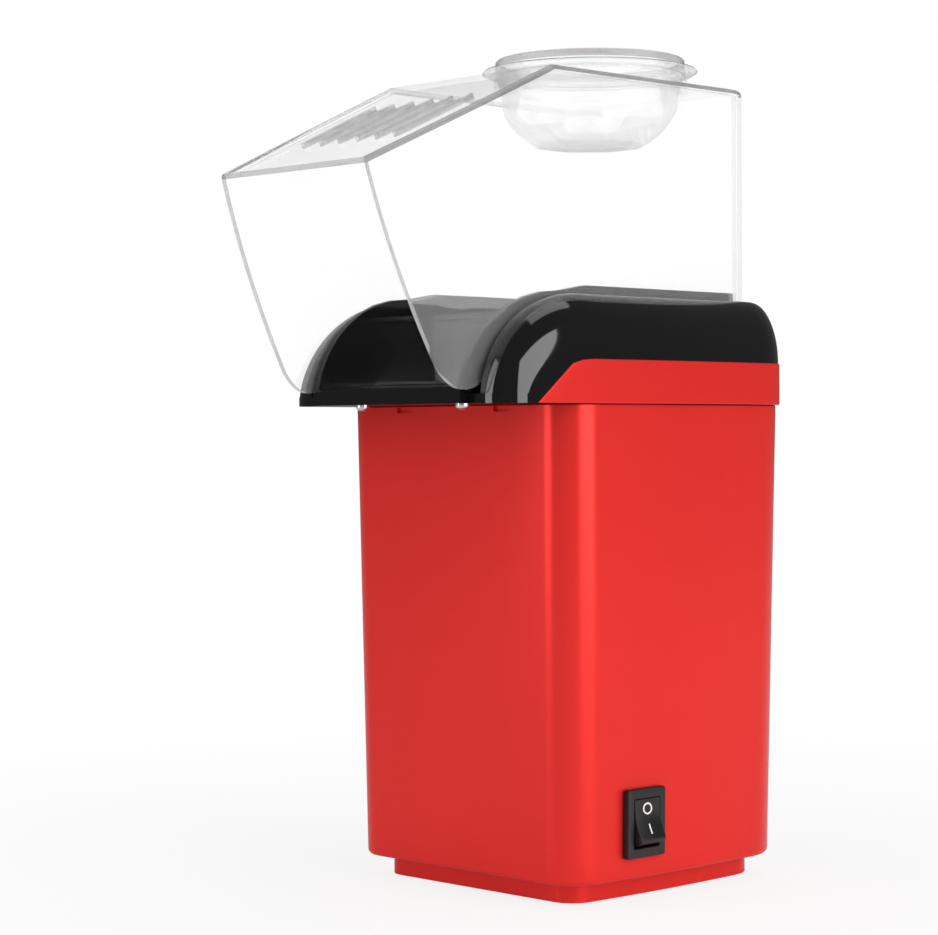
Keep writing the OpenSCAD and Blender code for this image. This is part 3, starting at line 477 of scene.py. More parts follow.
class POPCORN_OT_finishes(bpy.types.Operator):
    """Make every material and give the frame's own nodes theirs"""

    bl_idname = "popcorn.finishes"
    bl_label = "Finishes"

    def execute(self, context):
        paint = context.scene.popcorn_finish
        red, black, clear, edge = (
            tuple(color) for color in (paint.red, paint.black, paint.clear, paint.edge))
        # Painted shade for the clear plastic: a dark tint on its edges, darker still on the cover's
        # rounded top ridges, stands in for the dark lines that bent light draws there.
        ridge = tuple(0.35 * c for c in edge)
        made = {
            "red_body": moulded("Red lacquered plastic", red, 0.10, 0.25, 0.0, 0.02,
                                Metallic=0.38, Specular_IOR_Level=0.15),
            "black_gloss": moulded("Black gloss plastic", black, 0.2, 0.07, 0.4, 0.008),
            "clear_plastic": clear_plastic("Clear plastic", clear, 0.2, 1.12, 0.3),
            "clear_cup": clear_plastic("Clear cup plastic", clear, 0.35, 1.2, 0.1),
            # The two dark edge materials below are painted shade, not the plastic's own colour.
            "clear_edge_shade": clear_plastic("Clear plastic edge shade", edge, 0.8, 1.46, 0, 0.08),
            "clear_ridge_shade": clear_plastic("Clear plastic ridge shade", ridge, 0.85, 1.46, 0, 0.08),
            "switch_black": moulded("Black switch plastic", (0.011, 0.010, 0.011), 0.2, 0.45,
                                    0, 0.02, 0.06),
            "rocker_black": moulded("Black rocker plastic", (0.010, 0.009, 0.010), 0.2, 0.33,
                                    0, 0.02, 0.03),
            "fan_plastic": moulded("Dark fan plastic", (0.03, 0.03, 0.033), 0.2, 0.5,
                                   0, 0.05, 0.1),
            "mark_white": moulded("White print", (0.78, 0.78, 0.76), 0.05, 0.5),
            "foot_rubber": moulded("Foot rubber", (0.02, 0.02, 0.02), 0.3, 0.75, 0, 0.1, 0.3),
            "gland_rubber": moulded("Gland rubber", (0.022, 0.022, 0.022), 0.3, 0.7, 0, 0.1, 0.3),
            "chamber_aluminium": metal("Chamber aluminium", (0.80, 0.80, 0.82), 0.30, (1, 1, 0.05)),
            "screw_steel": metal("Screw steel", (0.70, 0.70, 0.71), 0.16, (1, 1, 0.3), 400),
            "duct_sheet": metal("Duct sheet", (0.58, 0.58, 0.58), 0.42, (1, 1, 0.08)),
            "heater_wire": metal("Heater wire", (0.34, 0.30, 0.27), 0.45, (1, 1, 1), 700),
            "nut_brass": metal("Brass", (0.72, 0.55, 0.25), 0.25, (1, 1, 0.3), 400),
            "shaft_steel": metal("Shaft steel", (0.66, 0.66, 0.68), 0.18, (1, 1, 0.04), 400),
            "motor_steel": metal("Motor case steel", (0.50, 0.50, 0.52), 0.35, (1, 1, 0.06)),
            "thermostat_case": metal("Thermostat case", (0.58, 0.56, 0.50), 0.35),
            "fuse_case": metal("Fuse case", (0.66, 0.60, 0.46), 0.35),
            "mica": layered("Mica", (0.62, 0.55, 0.40), (0.40, 0.33, 0.22), 4.0),
            "board_green": layered("Circuit board", (0.05, 0.20, 0.08), (0.03, 0.12, 0.05), 1.0),
            "gasket_fibre": fibre("Gasket fibre", (0.72, 0.69, 0.60), (0.45, 0.42, 0.36)),
            "wire_white": fibre("Braided sleeve", (0.74, 0.74, 0.70), (0.45, 0.45, 0.42)),
            "wire_brown": moulded("Brown wire", (0.16, 0.07, 0.03), 0.2, 0.4, 0, 0.1, 0.05),
            "wire_red": moulded("Red wire", (0.50, 0.03, 0.03), 0.2, 0.4, 0, 0.1, 0.05),
        }
        MATERIALS.update(made)
        for part in frame["record"]["subparts"]:
            mesh = frame["nodes"][part["node"]].data
            mesh.materials.clear()
            mesh.materials.append(made[part["material_slot"]])
        return {"FINISHED"}


class POPCORN_OT_body(bpy.types.Operator):
    """Build the red body with its switch cut-out and latch notches, and its base"""

    bl_idname = "popcorn.body"
    bl_label = "Body"

    FRONT_R, BACK_R = 12.0, 19.0  # rounding of the upright corners
    LEAN = 2.0  # how much narrower the body is at its foot
    TOP_ROUND = 0.4
    OPENING = 14.0  # inset of the opening in the underside
    HOLE_HALF = (7.5, 9.65)  # the switch's hole
    LATCH_X, LATCH_HALF, LATCH_H, LATCH_DEPTH = 22.0, 3.5, 2.2, 1.2

    def outline(self, e, lean):
        """Plan of the body, counter-clockwise from the front right corner, inset by e."""
        w, d = BODY_HALF_W - e - lean, BODY_HALF_D - e - lean
        front, back = max(self.FRONT_R - e, 0.6), max(self.BACK_R - e + lean / 2, 0.6)
        side = [(w + BOW * 4 * t * (1 - t), -d + front + t * (2 * d - front - back))
                for t in span(0, 1, 12)[1:-1]]
        return mirrored(arc(w - front, -d + front, front, -90, 0, 12) + side
                        + arc(w - back, d - back, back, 0, 90, 14))

    def execute(self, context):
        shell = context.scene.popcorn_shell
        wall, fillet = shell.wall / MM, shell.foot_round / MM
        lean = self.LEAN / (SEAM_Z - STEP_Z)

        def ring(e, z):
            return at_z(self.outline(e, lean * (SEAM_Z - z)), z)

        foot = arc(fillet, STEP_Z + fillet, fillet, -90, -180, 4)
        outer = [ring(0, z) for z in span(STEP_Z + fillet, SEAM_Z - self.TOP_ROUND, 6)[1:]]
        inner = [ring(wall, z) for z in (SEAM_Z, STEP_Z + wall)]
        bm = loft([ring(self.OPENING, STEP_Z), *(ring(e, z) for e, z in foot), *outer,
                   ring(self.TOP_ROUND, SEAM_Z), *inner, ring(self.OPENING, STEP_Z + wall)],
                  loop=True)
        self.cut_switch_hole(bm)
        self.cut_latches(bm)
        piece("body_red_shell", bm, "body", "red_body", ["body_shell"])
        piece("base_red_tray", cad_copy("base_plate"), "body", "red_body", ["base_plate"],
              bevel=0.5, smooth=50)
        return {"FINISHED"}

    @staticmethod
    def near(bm, test):
        """Faces whose middle passes a test."""
        return [f for f in bm.faces if test(f.calc_center_median())]

    def split(self, bm, co, no, test):
        """Cuts the faces whose middle passes a test along a plane."""
        bmesh.ops.bisect_plane(bm, geom=geometry(self.near(bm, test)), plane_co=co, plane_no=no)

    def cut_switch_hole(self, bm):
        """Opens the right side behind the switch and walls the hole's edge."""
        half_y, half_z = self.HOLE_HALF

        def on_right(c):
            return c.x > 40

        for side in (-1, 1):
            self.split(bm, (0, SWITCH_Y + side * half_y, 0), (0, 1, 0), on_right)
            self.split(bm, (0, 0, SWITCH_Z + side * half_z), (0, 0, 1), on_right)
        inside = self.near(bm, lambda c: (on_right(c) and abs(c.y - SWITCH_Y) < half_y
                                          and abs(c.z - SWITCH_Z) < half_z))
        rim = {e for f in inside for e in f.edges
               if any(g not in inside for g in e.link_faces)}
        bmesh.ops.delete(bm, geom=inside, context="FACES")
        bmesh.ops.bridge_loops(bm, edges=[e for e in rim if e.is_valid])

    def cut_latches(self, bm):
        """Sinks two notches in the front's upper edge."""
        low = SEAM_Z - self.LATCH_H

        def in_front(c):
            return c.y < -50 and c.z > 120

        for side in (-1, 1):
            for edge in (-1, 1):
                x = side * self.LATCH_X + edge * self.LATCH_HALF
                self.split(bm, (x, 0, 0), (1, 0, 0), in_front)
        self.split(bm, (0, 0, low), (0, 0, 1), in_front)
        for side in (-1, 1):
            notch = self.near(bm, lambda c: (c.y < -52.5 and c.z > low and
                                             abs(c.x - side * self.LATCH_X) < self.LATCH_HALF))
            faces = [f for f in notch if f.normal.y < -0.9]
            pushed(bm, faces, (0, self.LATCH_DEPTH, 0))
            bmesh.ops.delete(bm, geom=faces, context="FACES_ONLY")


class POPCORN_OT_housing(bpy.types.Operator):
    """Build the black upper housing, its chute and the red collar round it"""

    bl_idname = "popcorn.housing"
    bl_label = "Upper housing"

    WALL = 2.8
    BACK_RIM = 1.2  # width of the flat rim behind the well
    LEDGE = 1.6  # how much further out the inner skin's top edge lies
    SHOULDER = RIM_Z - COLLAR_TOP
    CHEEK_HALF, CHEEK_FLARE = 50.5, 2.6  # half width at the spout, and its growth up the arch
    CHEEK_REACH, CHEEK_ROUND = 40.0, 9.0  # length of the arch, and its loss towards the outside
    RING_HALF, RING_BACK = 53.1, 55.1  # outermost side and back of the shoulder
    CORNER_R, CORNER_GROWTH = 14.5, 6.0
    WELL_R = 13.8
    FLOOR_T, DECK_T = 2.9, 2.4
    CHAMBER_R = 34.9
    SPAN_OUT = span(0, 90, 14)  # steps from the top edge down to the outside
    SPAN_IN = span(90, 0, 7)

    def arch_section(self, t, steps, e):
        """A cheek's section at angle t of its arch, inset by e."""
        t = math.radians(t)
        top = TOP_HALF + (e and self.LEDGE)
        out = []
        for s in map(math.radians, steps):
            wide = self.CHEEK_HALF + self.CHEEK_FLARE * (1 - math.cos(t)) - e
            a = self.CHEEK_REACH - e - self.CHEEK_ROUND * (1 - math.cos(s))
            b = RIM_Z - SEAM_Z - e - self.SHOULDER * (1 - math.cos(s))
            out.append((top + (wide - top) * math.sin(s), ARCH_Y - a * math.cos(t),
                        SEAM_Z + max(b, 0) * math.sin(t)))
        return out

    @staticmethod
    def on_path(where, half, back, r):
        """Point of a rounded plan: along the side, round the back corner or along the back."""
        kind, v = where
        if kind == "side":
            return half, ARCH_Y + v * (back - r - ARCH_Y)
        if kind == "corner":
            a = math.radians(v)
            return half - r + r * math.cos(a), back - r + r * math.sin(a)
        return (half - r) * (1 - v), back

    def ring_section(self, where, steps, e):
        """The shoulder's section at a place of the path, inset by e."""
        kind, v = where
        ledge = e and self.LEDGE
        top, top_back = TOP_HALF + ledge, WELL_BACK + self.BACK_RIM + ledge
        out = []
        for s in map(math.radians, steps):
            half = top + (self.RING_HALF - e - top) * math.sin(s)
            back = top_back + (self.RING_BACK - e - top_back) * math.sin(s)
            r = self.CORNER_R + self.CORNER_GROWTH * math.sin(s) - e / 2
            x, y = self.on_path(where, half, back, r)
            if kind == "side":
                x += BOW * 4 * v * (1 - v) * math.sin(s)
            out.append((x, y, COLLAR_TOP + (self.SHOULDER - e) * math.cos(s)))
        return out

    def well_point(self, where, e):
        """Point of the inner face's plan, moved out by e."""
        return self.on_path(where, WELL_HALF + e, WELL_BACK + e, self.WELL_R + e)

    @staticmethod
    def closed_section(well, outer, inner, behind, low):
        """Joins both skins of a section with the inner face and the underside."""
        return [(*well, low), (*well, outer[0][2]), *outer, (*outer[-1][:2], SEAM_Z),
                (*inner[0][:2], SEAM_Z), *inner, (*behind, inner[-1][2]), (*behind, low)]

    def shell(self):
        """The two cheeks and the shoulder round the back as one closed shell."""
        rings = []
        for t in span(0, 90, 24):
            outer = self.arch_section(t, self.SPAN_OUT, 0)
            inner = self.arch_section(t, self.SPAN_IN, self.WALL)
            rings.append(self.closed_section(
                (WELL_HALF, outer[0][1]), outer, inner,
                (WELL_HALF + self.WALL, inner[-1][1]), SEAM_Z))
        path = ([("side", v) for v in span(0, 1, 8)[1:]]
                + [("corner", a) for a in span(0, 90, 12)[1:]]
                + [("back", w) for w in span(0, 1, 3)[1:]])
        for where in path:
            rings.append(self.closed_section(
                self.well_point(where, 0), self.ring_section(where, self.SPAN_OUT, 0),
                self.ring_section(where, self.SPAN_IN, self.WALL),
                self.well_point(where, self.WALL),
                SEAM_Z if where == path[0] else DECK_Z - self.DECK_T))
        left = [[(-x, y, z) for x, y, z in ring] for ring in reversed(rings[:-1])]
        return loft(rings + left)

    def execute(self, context):
        front = [(x, y) for x, y, _ in self.arch_section(0, self.SPAN_OUT, 0)]
        floor = plate(mirrored(front + [(BODY_HALF_W + 0.2, -BODY_HALF_D + 2)]),
                      SEAM_Z, SEAM_Z + self.FLOOR_T)
        well = [self.well_point(w, 1.0) for w in
                [("side", v) for v in span(0, 1, 4)] + [("corner", a) for a in span(0, 90, 12)[1:]]]
        deck = plate(mirrored(well), DECK_Z - self.DECK_T, DECK_Z,
                     [(0, CHAMBER_Y, self.CHAMBER_R)])
        piece("upper_housing_black", joined(self.shell(), floor, deck), "body", "black_gloss",
              ["upper_housing"], smooth=38)
        piece("chute_black", cad_copy("chute_liner"), "body", "black_gloss", ["chute_liner"],
              bevel=0.7, smooth=38)
        piece("collar_red", cad_copy("collar_trim"), "body", "red_body", ["collar_trim"],
              bevel=0.35, smooth=40)
        return {"FINISHED"}


class POPCORN_OT_cover(bpy.types.Operator):
    """Build the clear cover with its vent slots and the neck for the measuring cup"""

    bl_idname = "popcorn.cover"
    bl_label = "Clear cover"

    HALF, NARROWING = 37.9, 4.4  # half width, and its loss towards the mouth
    BACK_Y, RIDGE_Y, FRONT_Y = 50.2, -46.2, -119.0
    BACK_R = 13.0
    DROP = 33.1  # fall of the sloping top
    EDGE_R = 1.6
    NECK_R, NECK_H = 30.0, 5.0
    SLOT_PITCH, SLOT_HALF, SLOT_ENDS = 8.95, 0.75, (-97.0, -66.2)

    def side_view(self):
        """The cover from the side: curved mouth, round tongue, level foot and gabled top."""
        top_front = (self.FRONT_Y, COVER_TOP - self.DROP)
        chin = (-93.0, LIP_Z + 5.2)
        belly = (-110.5, (top_front[1] + chin[1]) / 2 + 1)
        mouth = bezier(top_front, belly, chin, 14)
        tongue = bezier(chin, (-85.0, LIP_Z - 5.0), (-76.0, LIP_Z + 1.8), 8)
        low = [(-35.0, LINER_TOP + 0.1), (self.BACK_Y, LINER_TOP + 0.1)]
        return mouth + tongue[1:] + low + [(self.BACK_Y, COVER_TOP), (self.RIDGE_Y, COVER_TOP)]

    def narrow(self, y):
        """Share of the full width at a place along the cover."""
        if y > self.RIDGE_Y:
            return 1.0
        t = min(1.0, (self.RIDGE_Y - y) / (self.RIDGE_Y - self.FRONT_Y))
        return 1.0 - self.NARROWING * t ** 1.5 / self.HALF

    def execute(self, context):
        shell = context.scene.popcorn_shell
        wall = shell.cover_wall / MM
        slope_low = COVER_TOP - self.DROP
        bm = prism([(-self.HALF, y, z) for y, z in self.side_view()], (2 * self.HALF, 0, 0))
        upright = [e for e in bm.edges
                   if all(abs(v.co.y - self.BACK_Y) < 0.01 for v in e.verts)
                   and abs(e.verts[0].co.z - e.verts[1].co.z) > 20]
        rounded(bm, upright, self.BACK_R, 12, clamp=False)
        open_faces = [f for f in bm.faces
                      if abs(f.normal.x) < 0.5 and (f.normal.z < -0.3 or f.normal.y < -0.7)
                      and f.calc_center_median().z < slope_low + 1]
        bmesh.ops.delete(bm, geom=open_faces, context="FACES")
        self.raise_neck(bm, self.NECK_R + wall)
        self.cut_slots(bm, shell.slots)
        for y in span(self.RIDGE_Y, self.FRONT_Y, 9)[1:-1]:
            bmesh.ops.bisect_plane(bm, geom=bm.verts[:] + bm.edges[:] + bm.faces[:],
                                   plane_co=(0, y, 0), plane_no=(0, 1, 0))
        for v in bm.verts:
            v.co.x *= self.narrow(v.co.y)
        outward(bm)
        if sum(f.normal.z for f in bm.faces if abs(f.normal.z) > 0.5) < 0:
            bmesh.ops.reverse_faces(bm, faces=bm.faces)
        top_edges = [e for e in bm.edges if len(e.link_faces) == 2 and e.calc_face_angle(0) > 0.7
                     and min(v.co.z for v in e.verts) > slope_low - 1
                     and max(abs(v.co.x) for v in e.verts) > self.NECK_R + wall + 0.1]
        # The rounded top edges take the ridge material: painted shade along the ridges.
        for f in rounded(bm, top_edges, self.EDGE_R, 3):
            f.material_index = 2
        obj = piece("cover_clear", bm, "cover", "clear_plastic", ["clear_cover"], smooth=30)
        # The wall's cut rims take the edge material, and the ridges the ridge material: both are
        # painted shade.
        obj.data.materials.append(finish("clear_edge_shade"))
        obj.data.materials.append(finish("clear_ridge_shade"))
        solid = obj.modifiers.new("Wall", "SOLIDIFY")
        solid.thickness = wall * MM
        solid.offset = -1
        solid.material_offset_rim = 1
        solid.use_even_offset = True
        edge = obj.modifiers.new("Soft edges", "BEVEL")
        edge.width = 0.35 * MM
        edge.segments = 2
        edge.limit_method = "ANGLE"
        edge.angle_limit = math.radians(60)
        return {"FINISHED"}

    def raise_neck(self, bm, radius):
        """Opens the flat top and raises a round neck on it."""
        flat = [f for f in bm.faces if f.normal.z > 0.99]
        outer = {e for f in flat for e in f.edges}
        bmesh.ops.delete(bm, geom=flat, context="FACES_ONLY")
        circle = bmesh.ops.create_circle(bm, segments=96, radius=radius,
                                         matrix=Matrix.Translation((0, CUP_Y, COVER_TOP)))["verts"]
        edges = list({e for v in circle for e in v.link_edges})
        bmesh.ops.triangle_fill(bm, edges=list(outer) + edges, use_beauty=True)
        raised = bmesh.ops.extrude_edge_only(bm, edges=edges)["geom"]
        bmesh.ops.translate(bm, vec=(0, 0, self.NECK_H), verts=verts_of(raised))

    def cut_slots(self, bm, count):
        """Cuts the vent slots in the sloping top."""
        def slope():
            return [f for f in bm.faces if 0.6 < f.normal.z < 0.99]

        def cut(co, no):
            bmesh.ops.bisect_plane(bm, geom=geometry(slope()), plane_co=co, plane_no=no)

        outward(bm)
        centres = [(i - (count - 1) / 2) * self.SLOT_PITCH for i in range(count)]
        for y in self.SLOT_ENDS:
            cut((0, y, 0), (0, 1, 0))
        for x in centres:
            for side in (-self.SLOT_HALF, self.SLOT_HALF):
                cut((x + side, 0, 0), (1, 0, 0))
        front, back = self.SLOT_ENDS
        gone = [f for f in slope() if front < f.calc_center_median().y < back
                and any(abs(f.calc_center_median().x - x) < self.SLOT_HALF for x in centres)]
        bmesh.ops.delete(bm, geom=gone, context="FACES")


class POPCORN_OT_cup(bpy.types.Operator):
    """Build the measuring cup with its faceted bowl and its stepped rim"""

    bl_idname = "popcorn.cup"
    bl_label = "Measuring cup"

    NECK_R = 29.0
    WALL = 1.6
    DEPTH = 18.0
    FLANGE_H = 5.1
    # Radius and height of the profile's points, over the bottom and over the flange.
    OUTER = [(16.2, 0), (17.0, 0.25), (19.6, 2.0), (22.4, 4.2), (24.6, 6.2), (26.6, 8.6),
             (28.2, 10.8), (29.6, 13.0), (31.0, 15.4)]
    INNER = [(29.4, 15.4), (28.0, 13.2), (26.6, 11.2), (25.0, 9.2), (23.0, 7.2), (20.8, 5.3),
             (18.2, 3.3), (16.0, 1.7)]
    RIM = [(31.0, 0), (33.9, 0), (33.9, -0.6), (34.1, -0.6), (35.2, -0.6), (35.5, -0.3),
           (35.5, 1.1), (35.0, 1.6), (31.6, 2.2), (31.3, 2.6), (31.1, 4.6), (30.7, 5.0),
           (30.0, 5.0), (29.7, 4.7), (29.4, 1.6)]

    def execute(self, context):
        facets = context.scene.popcorn_shell.cup_facets
        low = COVER_TOP + self.FLANGE_H
        bottom = COVER_TOP - self.DEPTH
        outer, inner, rim = ([(r, base + h) for r, h in points] for points, base in (
            (self.OUTER, bottom), (self.INNER, bottom), (self.RIM, low)))
        profile = [(0, bottom), *outer, *rim, *inner, (0, bottom + self.WALL)]
        bm = turned(profile, facets * 12)
        step = 2 * math.pi / facets
        for v in bm.verts:
            r = math.hypot(v.co.x, v.co.y)
            if v.co.z < low - 0.2 and r > 1:
                angle = (math.atan2(v.co.y, v.co.x) + step / 2) % step - step / 2
                outside = any(abs(r - a) < 0.05 and abs(v.co.z - z) < 0.05 for a, z in outer)
                flat = min(r / math.cos(angle), self.NECK_R - (0 if outside else self.WALL))
                v.co.x *= flat / r
                v.co.y *= flat / r
        # The flange's outer rim, the neck's top ring and the bottom ring take the dark edge
        # material: painted shade standing in for the dark lines that bent light draws there.
        for f in bm.faces:
            middle = f.calc_center_median()
            r = math.hypot(*middle.xy)
            painted_shade_edge = r > 35.1 or bottom < middle.z < bottom + 0.5
            f.material_index = int(painted_shade_edge or 30.6 < r < 31.2 and middle.z > low)
        bmesh.ops.translate(bm, vec=(0, CUP_Y, 0), verts=bm.verts)
        cup = piece("cup_clear", bm, "cup", "clear_plastic", ["measuring_cup"], "clear_cup",
                    smooth=50)
        cup.data.materials.append(finish("clear_edge_shade"))
        return {"FINISHED"}


# Takes the switch, drawn face up, to its place in the right side.
SWITCH = (Matrix.Translation((SWITCH_X, SWITCH_Y, SWITCH_Z))
          @ Matrix.Rotation(math.radians(90 + SWITCH_LEAN), 4, "Y"))


class POPCORN_OT_switch(bpy.types.Operator):
    """Build the rocker switch with its O and I marks"""

    bl_idname = "popcorn.switch"
    bl_label = "Switch"

    PIN_Z, PIN_R, PIN_L = 0.4, 1.2, 12.7
    TILT = 15.0
    HALF, HALF_Y = 6.75, 5.55  # half length and half width of the rocker
    TIP = 1.6  # rounding of its end
    FACE_Z, HOLLOW, SAG = 1.66, 3.0, 0.64  # height of its face, and the hollow between the flats
    EDGE_R = 0.25
    BACK_Z = -16.0
    MARK_T = 0.05
    RING_R, RING_HOLE, RING_X = 1.95, 1.42, -3.85
    RING_SCALE = (0.91, 1.06, 1)
    BAR_L, BAR_W, BAR_X = 3.2, 0.55, 2.4

    def execute(self, context):
        self.build_frame()
        self.build_rocker()
        return {"FINISHED"}

    @staticmethod
    def frame_plan(half_x, half_y, r):
        """Rectangle with round corners."""
        upper = mirrored(arc(half_x - r, half_y - r, r, 0, 90, 6))
        return upper + [(x, -y) for x, y in reversed(upper)]

    def build_frame(self):
        """The switch's case with its raised bezel, open in front."""
        back, body = (8.0, 6.2, 0.4), (9.45, 7.3, 0.5)
        mouth, bezel = (7.65, 5.85, 0.3), (10.65, 8.5, 0.8)
        sections = [(mouth, self.BACK_Z + 1), (back, self.BACK_Z), (body, self.BACK_Z),
                    (body, 0.1), (bezel, 0.1), (bezel, 1.7), ((10.5, 8.35, 0.8), 1.98),
                    ((10.2, 8.05, 0.7), 2.1), ((7.85, 6.05, 0.35), 2.1), (mouth, 1.9), (mouth, -7)]
        bm = joined(loft([at_z(self.frame_plan(*plan), z) for plan, z in sections], caps=False),
                    plate(self.frame_plan(*back), self.BACK_Z, self.BACK_Z + 1))
        outward(bm)
        bm.transform(SWITCH)
        piece("switch_bezel", bm, "body", "switch_black", ["switch_frame"], smooth=30)

    def rocker_top(self, x):
        """Height of the rocker's face: two flats, a soft hollow between them and a round tip."""
        past = max(0.0, x - self.HALF + self.TIP)
        drop = self.TIP - math.sqrt(max(0.0, self.TIP ** 2 - past ** 2))
        rise = (math.hypot(x, self.HOLLOW) - self.SAG) * math.tan(math.radians(self.TILT))
        return self.FACE_Z + rise - drop

    def build_rocker(self):
        """The rocker on its pin, with its two marks, in the off position."""
        flat = self.HALF - self.TIP
        tip = [flat + self.TIP * math.sin(math.radians(a)) for a in (15, 30, 45, 60, 72, 82, 90)]
        top = [(x, self.rocker_top(x)) for x in span(-self.HALF, flat, 26) + tip]

        def end(x, z, side):
            """The rocker's end, an arc round its pin."""
            high = math.degrees(math.atan2(z, self.HALF))
            return [(side * u, v) for u, v in arc(0, 0, math.hypot(x, z), high, -10, 8)[1:]]

        under = [(4.0, -2.6), (-4.0, -2.6)]
        outline = top + end(*top[-1], 1) + under + end(*top[0], -1)[::-1]
        bm = prism([(x, -self.HALF_Y, z) for x, z in outline], (0, 2 * self.HALF_Y, 0))
        rim = [e for e in bm.edges if e.calc_face_angle(0) > 1.0
               and all(v.co.z > 1 and abs(abs(v.co.y) - self.HALF_Y) < 0.01 for v in e.verts)]
        ridge = [e for e in bm.edges
                 if all(-v.co.x > self.HALF - 0.01 and v.co.z > 3 for v in e.verts)]
        rounded(bm, list(set(rim + ridge)), self.EDGE_R, 3)
        pin = bmesh.new()
        bmesh.ops.create_cone(pin, cap_ends=True, segments=32, radius1=self.PIN_R,
                              radius2=self.PIN_R, depth=self.PIN_L,
                              matrix=Matrix.Rotation(math.radians(90), 4, "X"))
        pose = (SWITCH @ Matrix.Translation((0, 0, self.PIN_Z))
                @ Matrix.Rotation(math.radians(-self.TILT), 4, "Y"))
        bm = joined(bm, pin)
        bm.transform(pose)
        piece("rocker_black", bm, "rocker", "rocker_black", ["switch_rocker"])
        for name, bm in (("mark_off", self.ring_mark()), ("mark_on", self.bar_mark())):
            bm.transform(pose)
            piece(name, bm, "rocker", "rocker_black", material="mark_white")

    def drape(self, bm):
        """Lays a flat mark on the rocker's face."""
        for v in bm.verts:
            v.co.z += self.rocker_top(v.co.x)
        return bm

    def ring_mark(self):
        ring = plate(arc(0, 0, self.RING_R, 0, 360, 40)[:-1], 0, self.MARK_T,
                     [(0, 0, self.RING_HOLE)])
        bmesh.ops.scale(ring, vec=self.RING_SCALE, verts=ring.verts)
        bmesh.ops.translate(ring, vec=(self.RING_X, 0, 0), verts=ring.verts)
        return self.drape(ring)

    def bar_mark(self):
        bar = box((self.BAR_L, self.BAR_W, self.MARK_T), (self.BAR_X, 0, self.MARK_T / 2))
        long = [e for e in bar.edges if abs(e.verts[0].co.x - e.verts[1].co.x) > 1]
        bmesh.ops.subdivide_edges(bar, edges=long, cuts=6)
        return self.drape(bar)


class POPCORN_OT_hardware(bpy.types.Operator):
    """Build the screws, the rubber feet and the cord gland"""

    bl_idname = "popcorn.hardware"
    bl_label = "Screws, feet and gland"

    SPOUT_SCREWS = [(x, -71) for x in (-22.7, 22.7)]
    BASE_SCREWS = [(x, y) for x in (-33, 33) for y in (-36, 36)]
    FEET = [(x, y) for x in (-34, 34) for y in (-24, 22)]
    FOOT = [(0, 1.8), (4.5, 1.8), (4.5, 0.5), (4.2, 0.12), (3.9, 0), (2.2, 0), (1.9, 0.25),
            (0, 0.25)]
    STEM_R, CROSS_W, CROSS_T = 1.4, 0.42, 0.12

    def execute(self, context):
        self.build_screws("spout_screw_heads", self.SPOUT_SCREWS, SEAM_Z, 2.2, 1.7, 4.0,
                          ["spout_screws"])
        self.build_screws("base_screw_set", self.BASE_SCREWS, 3.4, 2.7, 1.8, 9.0, ["base_screws"])
        feet = joined(*(turned(self.FOOT, 48, place) for place in self.FEET))
        piece("feet_rubber", feet, "body", "foot_rubber", ["rubber_feet"])
        piece("gland_rubber_ring", cad_copy("cord_gland"), "body", "gland_rubber",
              ["cord_gland"], bevel=0.4, smooth=40)
        return {"FINISHED"}

    def build_screws(self, name, places, z, head_r, head_h, length, nodes):
        """Pan-head screws that point up, with a cross on the head."""
        dome = [(r, z - head_h * 0.35 - h * 0.65 * head_h / head_r)
                for r, h in reversed(arc(0, 0, head_r, 0, 90, 8))]
        stem = [(head_r, z), (self.STEM_R, z), (self.STEM_R, z + length - 0.8), (0, z + length)]
        arm = head_r * 1.15
        made = []
        for x, y in places:
            bm = joined(turned(dome + stem, 40),
                        box((arm, self.CROSS_W, self.CROSS_T), (0, 0, z - head_h)),
                        box((self.CROSS_W, arm, self.CROSS_T), (0, 0, z - head_h)))
            bmesh.ops.translate(bm, vec=(x, y, 0), verts=bm.verts)
            made.append(bm)
        piece(name, joined(*made), "body", "screw_steel", nodes)


class POPCORN_OT_heater(bpy.types.Operator):
    """Wind the heating wire on its mica plates"""

    bl_idname = "popcorn.heater"
    bl_label = "Heating wire"

    RINGS = (10, 17, 24, 31)  # radii of the wire's rings
    COIL_R, WIRE_R = 0.85, 0.15
    TURNS_PER_MM, POINTS = 4, 8  # turns for each millimetre of radius, points for each turn

    def execute(self, context):
        low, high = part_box("heater_coil")
        mid = (low.z + high.z) / 2
        centre = CHAMBER_Y * MM
        curve = bpy.data.curves.new("heating_wire", "CURVE")
        curve.dimensions = "3D"
        curve.bevel_depth = self.WIRE_R * MM
        curve.bevel_resolution = 0
        for r in self.RINGS:
            count = r * self.TURNS_PER_MM * self.POINTS
            spline = curve.splines.new("POLY")
            spline.points.add(count - 1)
            for i, point in enumerate(spline.points):
                a, b = 2 * math.pi * i / count, 2 * math.pi * i / self.POINTS
                ring = (r + self.COIL_R * math.cos(b)) * MM
                point.co = (ring * math.cos(a), centre + ring * math.sin(a),
                            mid + self.COIL_R * MM * math.sin(b), 1)
            spline.use_cyclic_u = True
        curve.materials.append(finish("heater_wire"))
        temp = bpy.data.objects.new("heating_wire_curve", curve)
        context.scene.collection.objects.link(temp)
        mesh = bpy.data.meshes.new_from_object(temp)
        bpy.data.objects.remove(temp)
        obj = bpy.data.objects.new("heating_wire", mesh)
        context.scene.collection.objects.link(obj)
        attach(obj, "body")
        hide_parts("heater_coil")
        return {"FINISHED"}


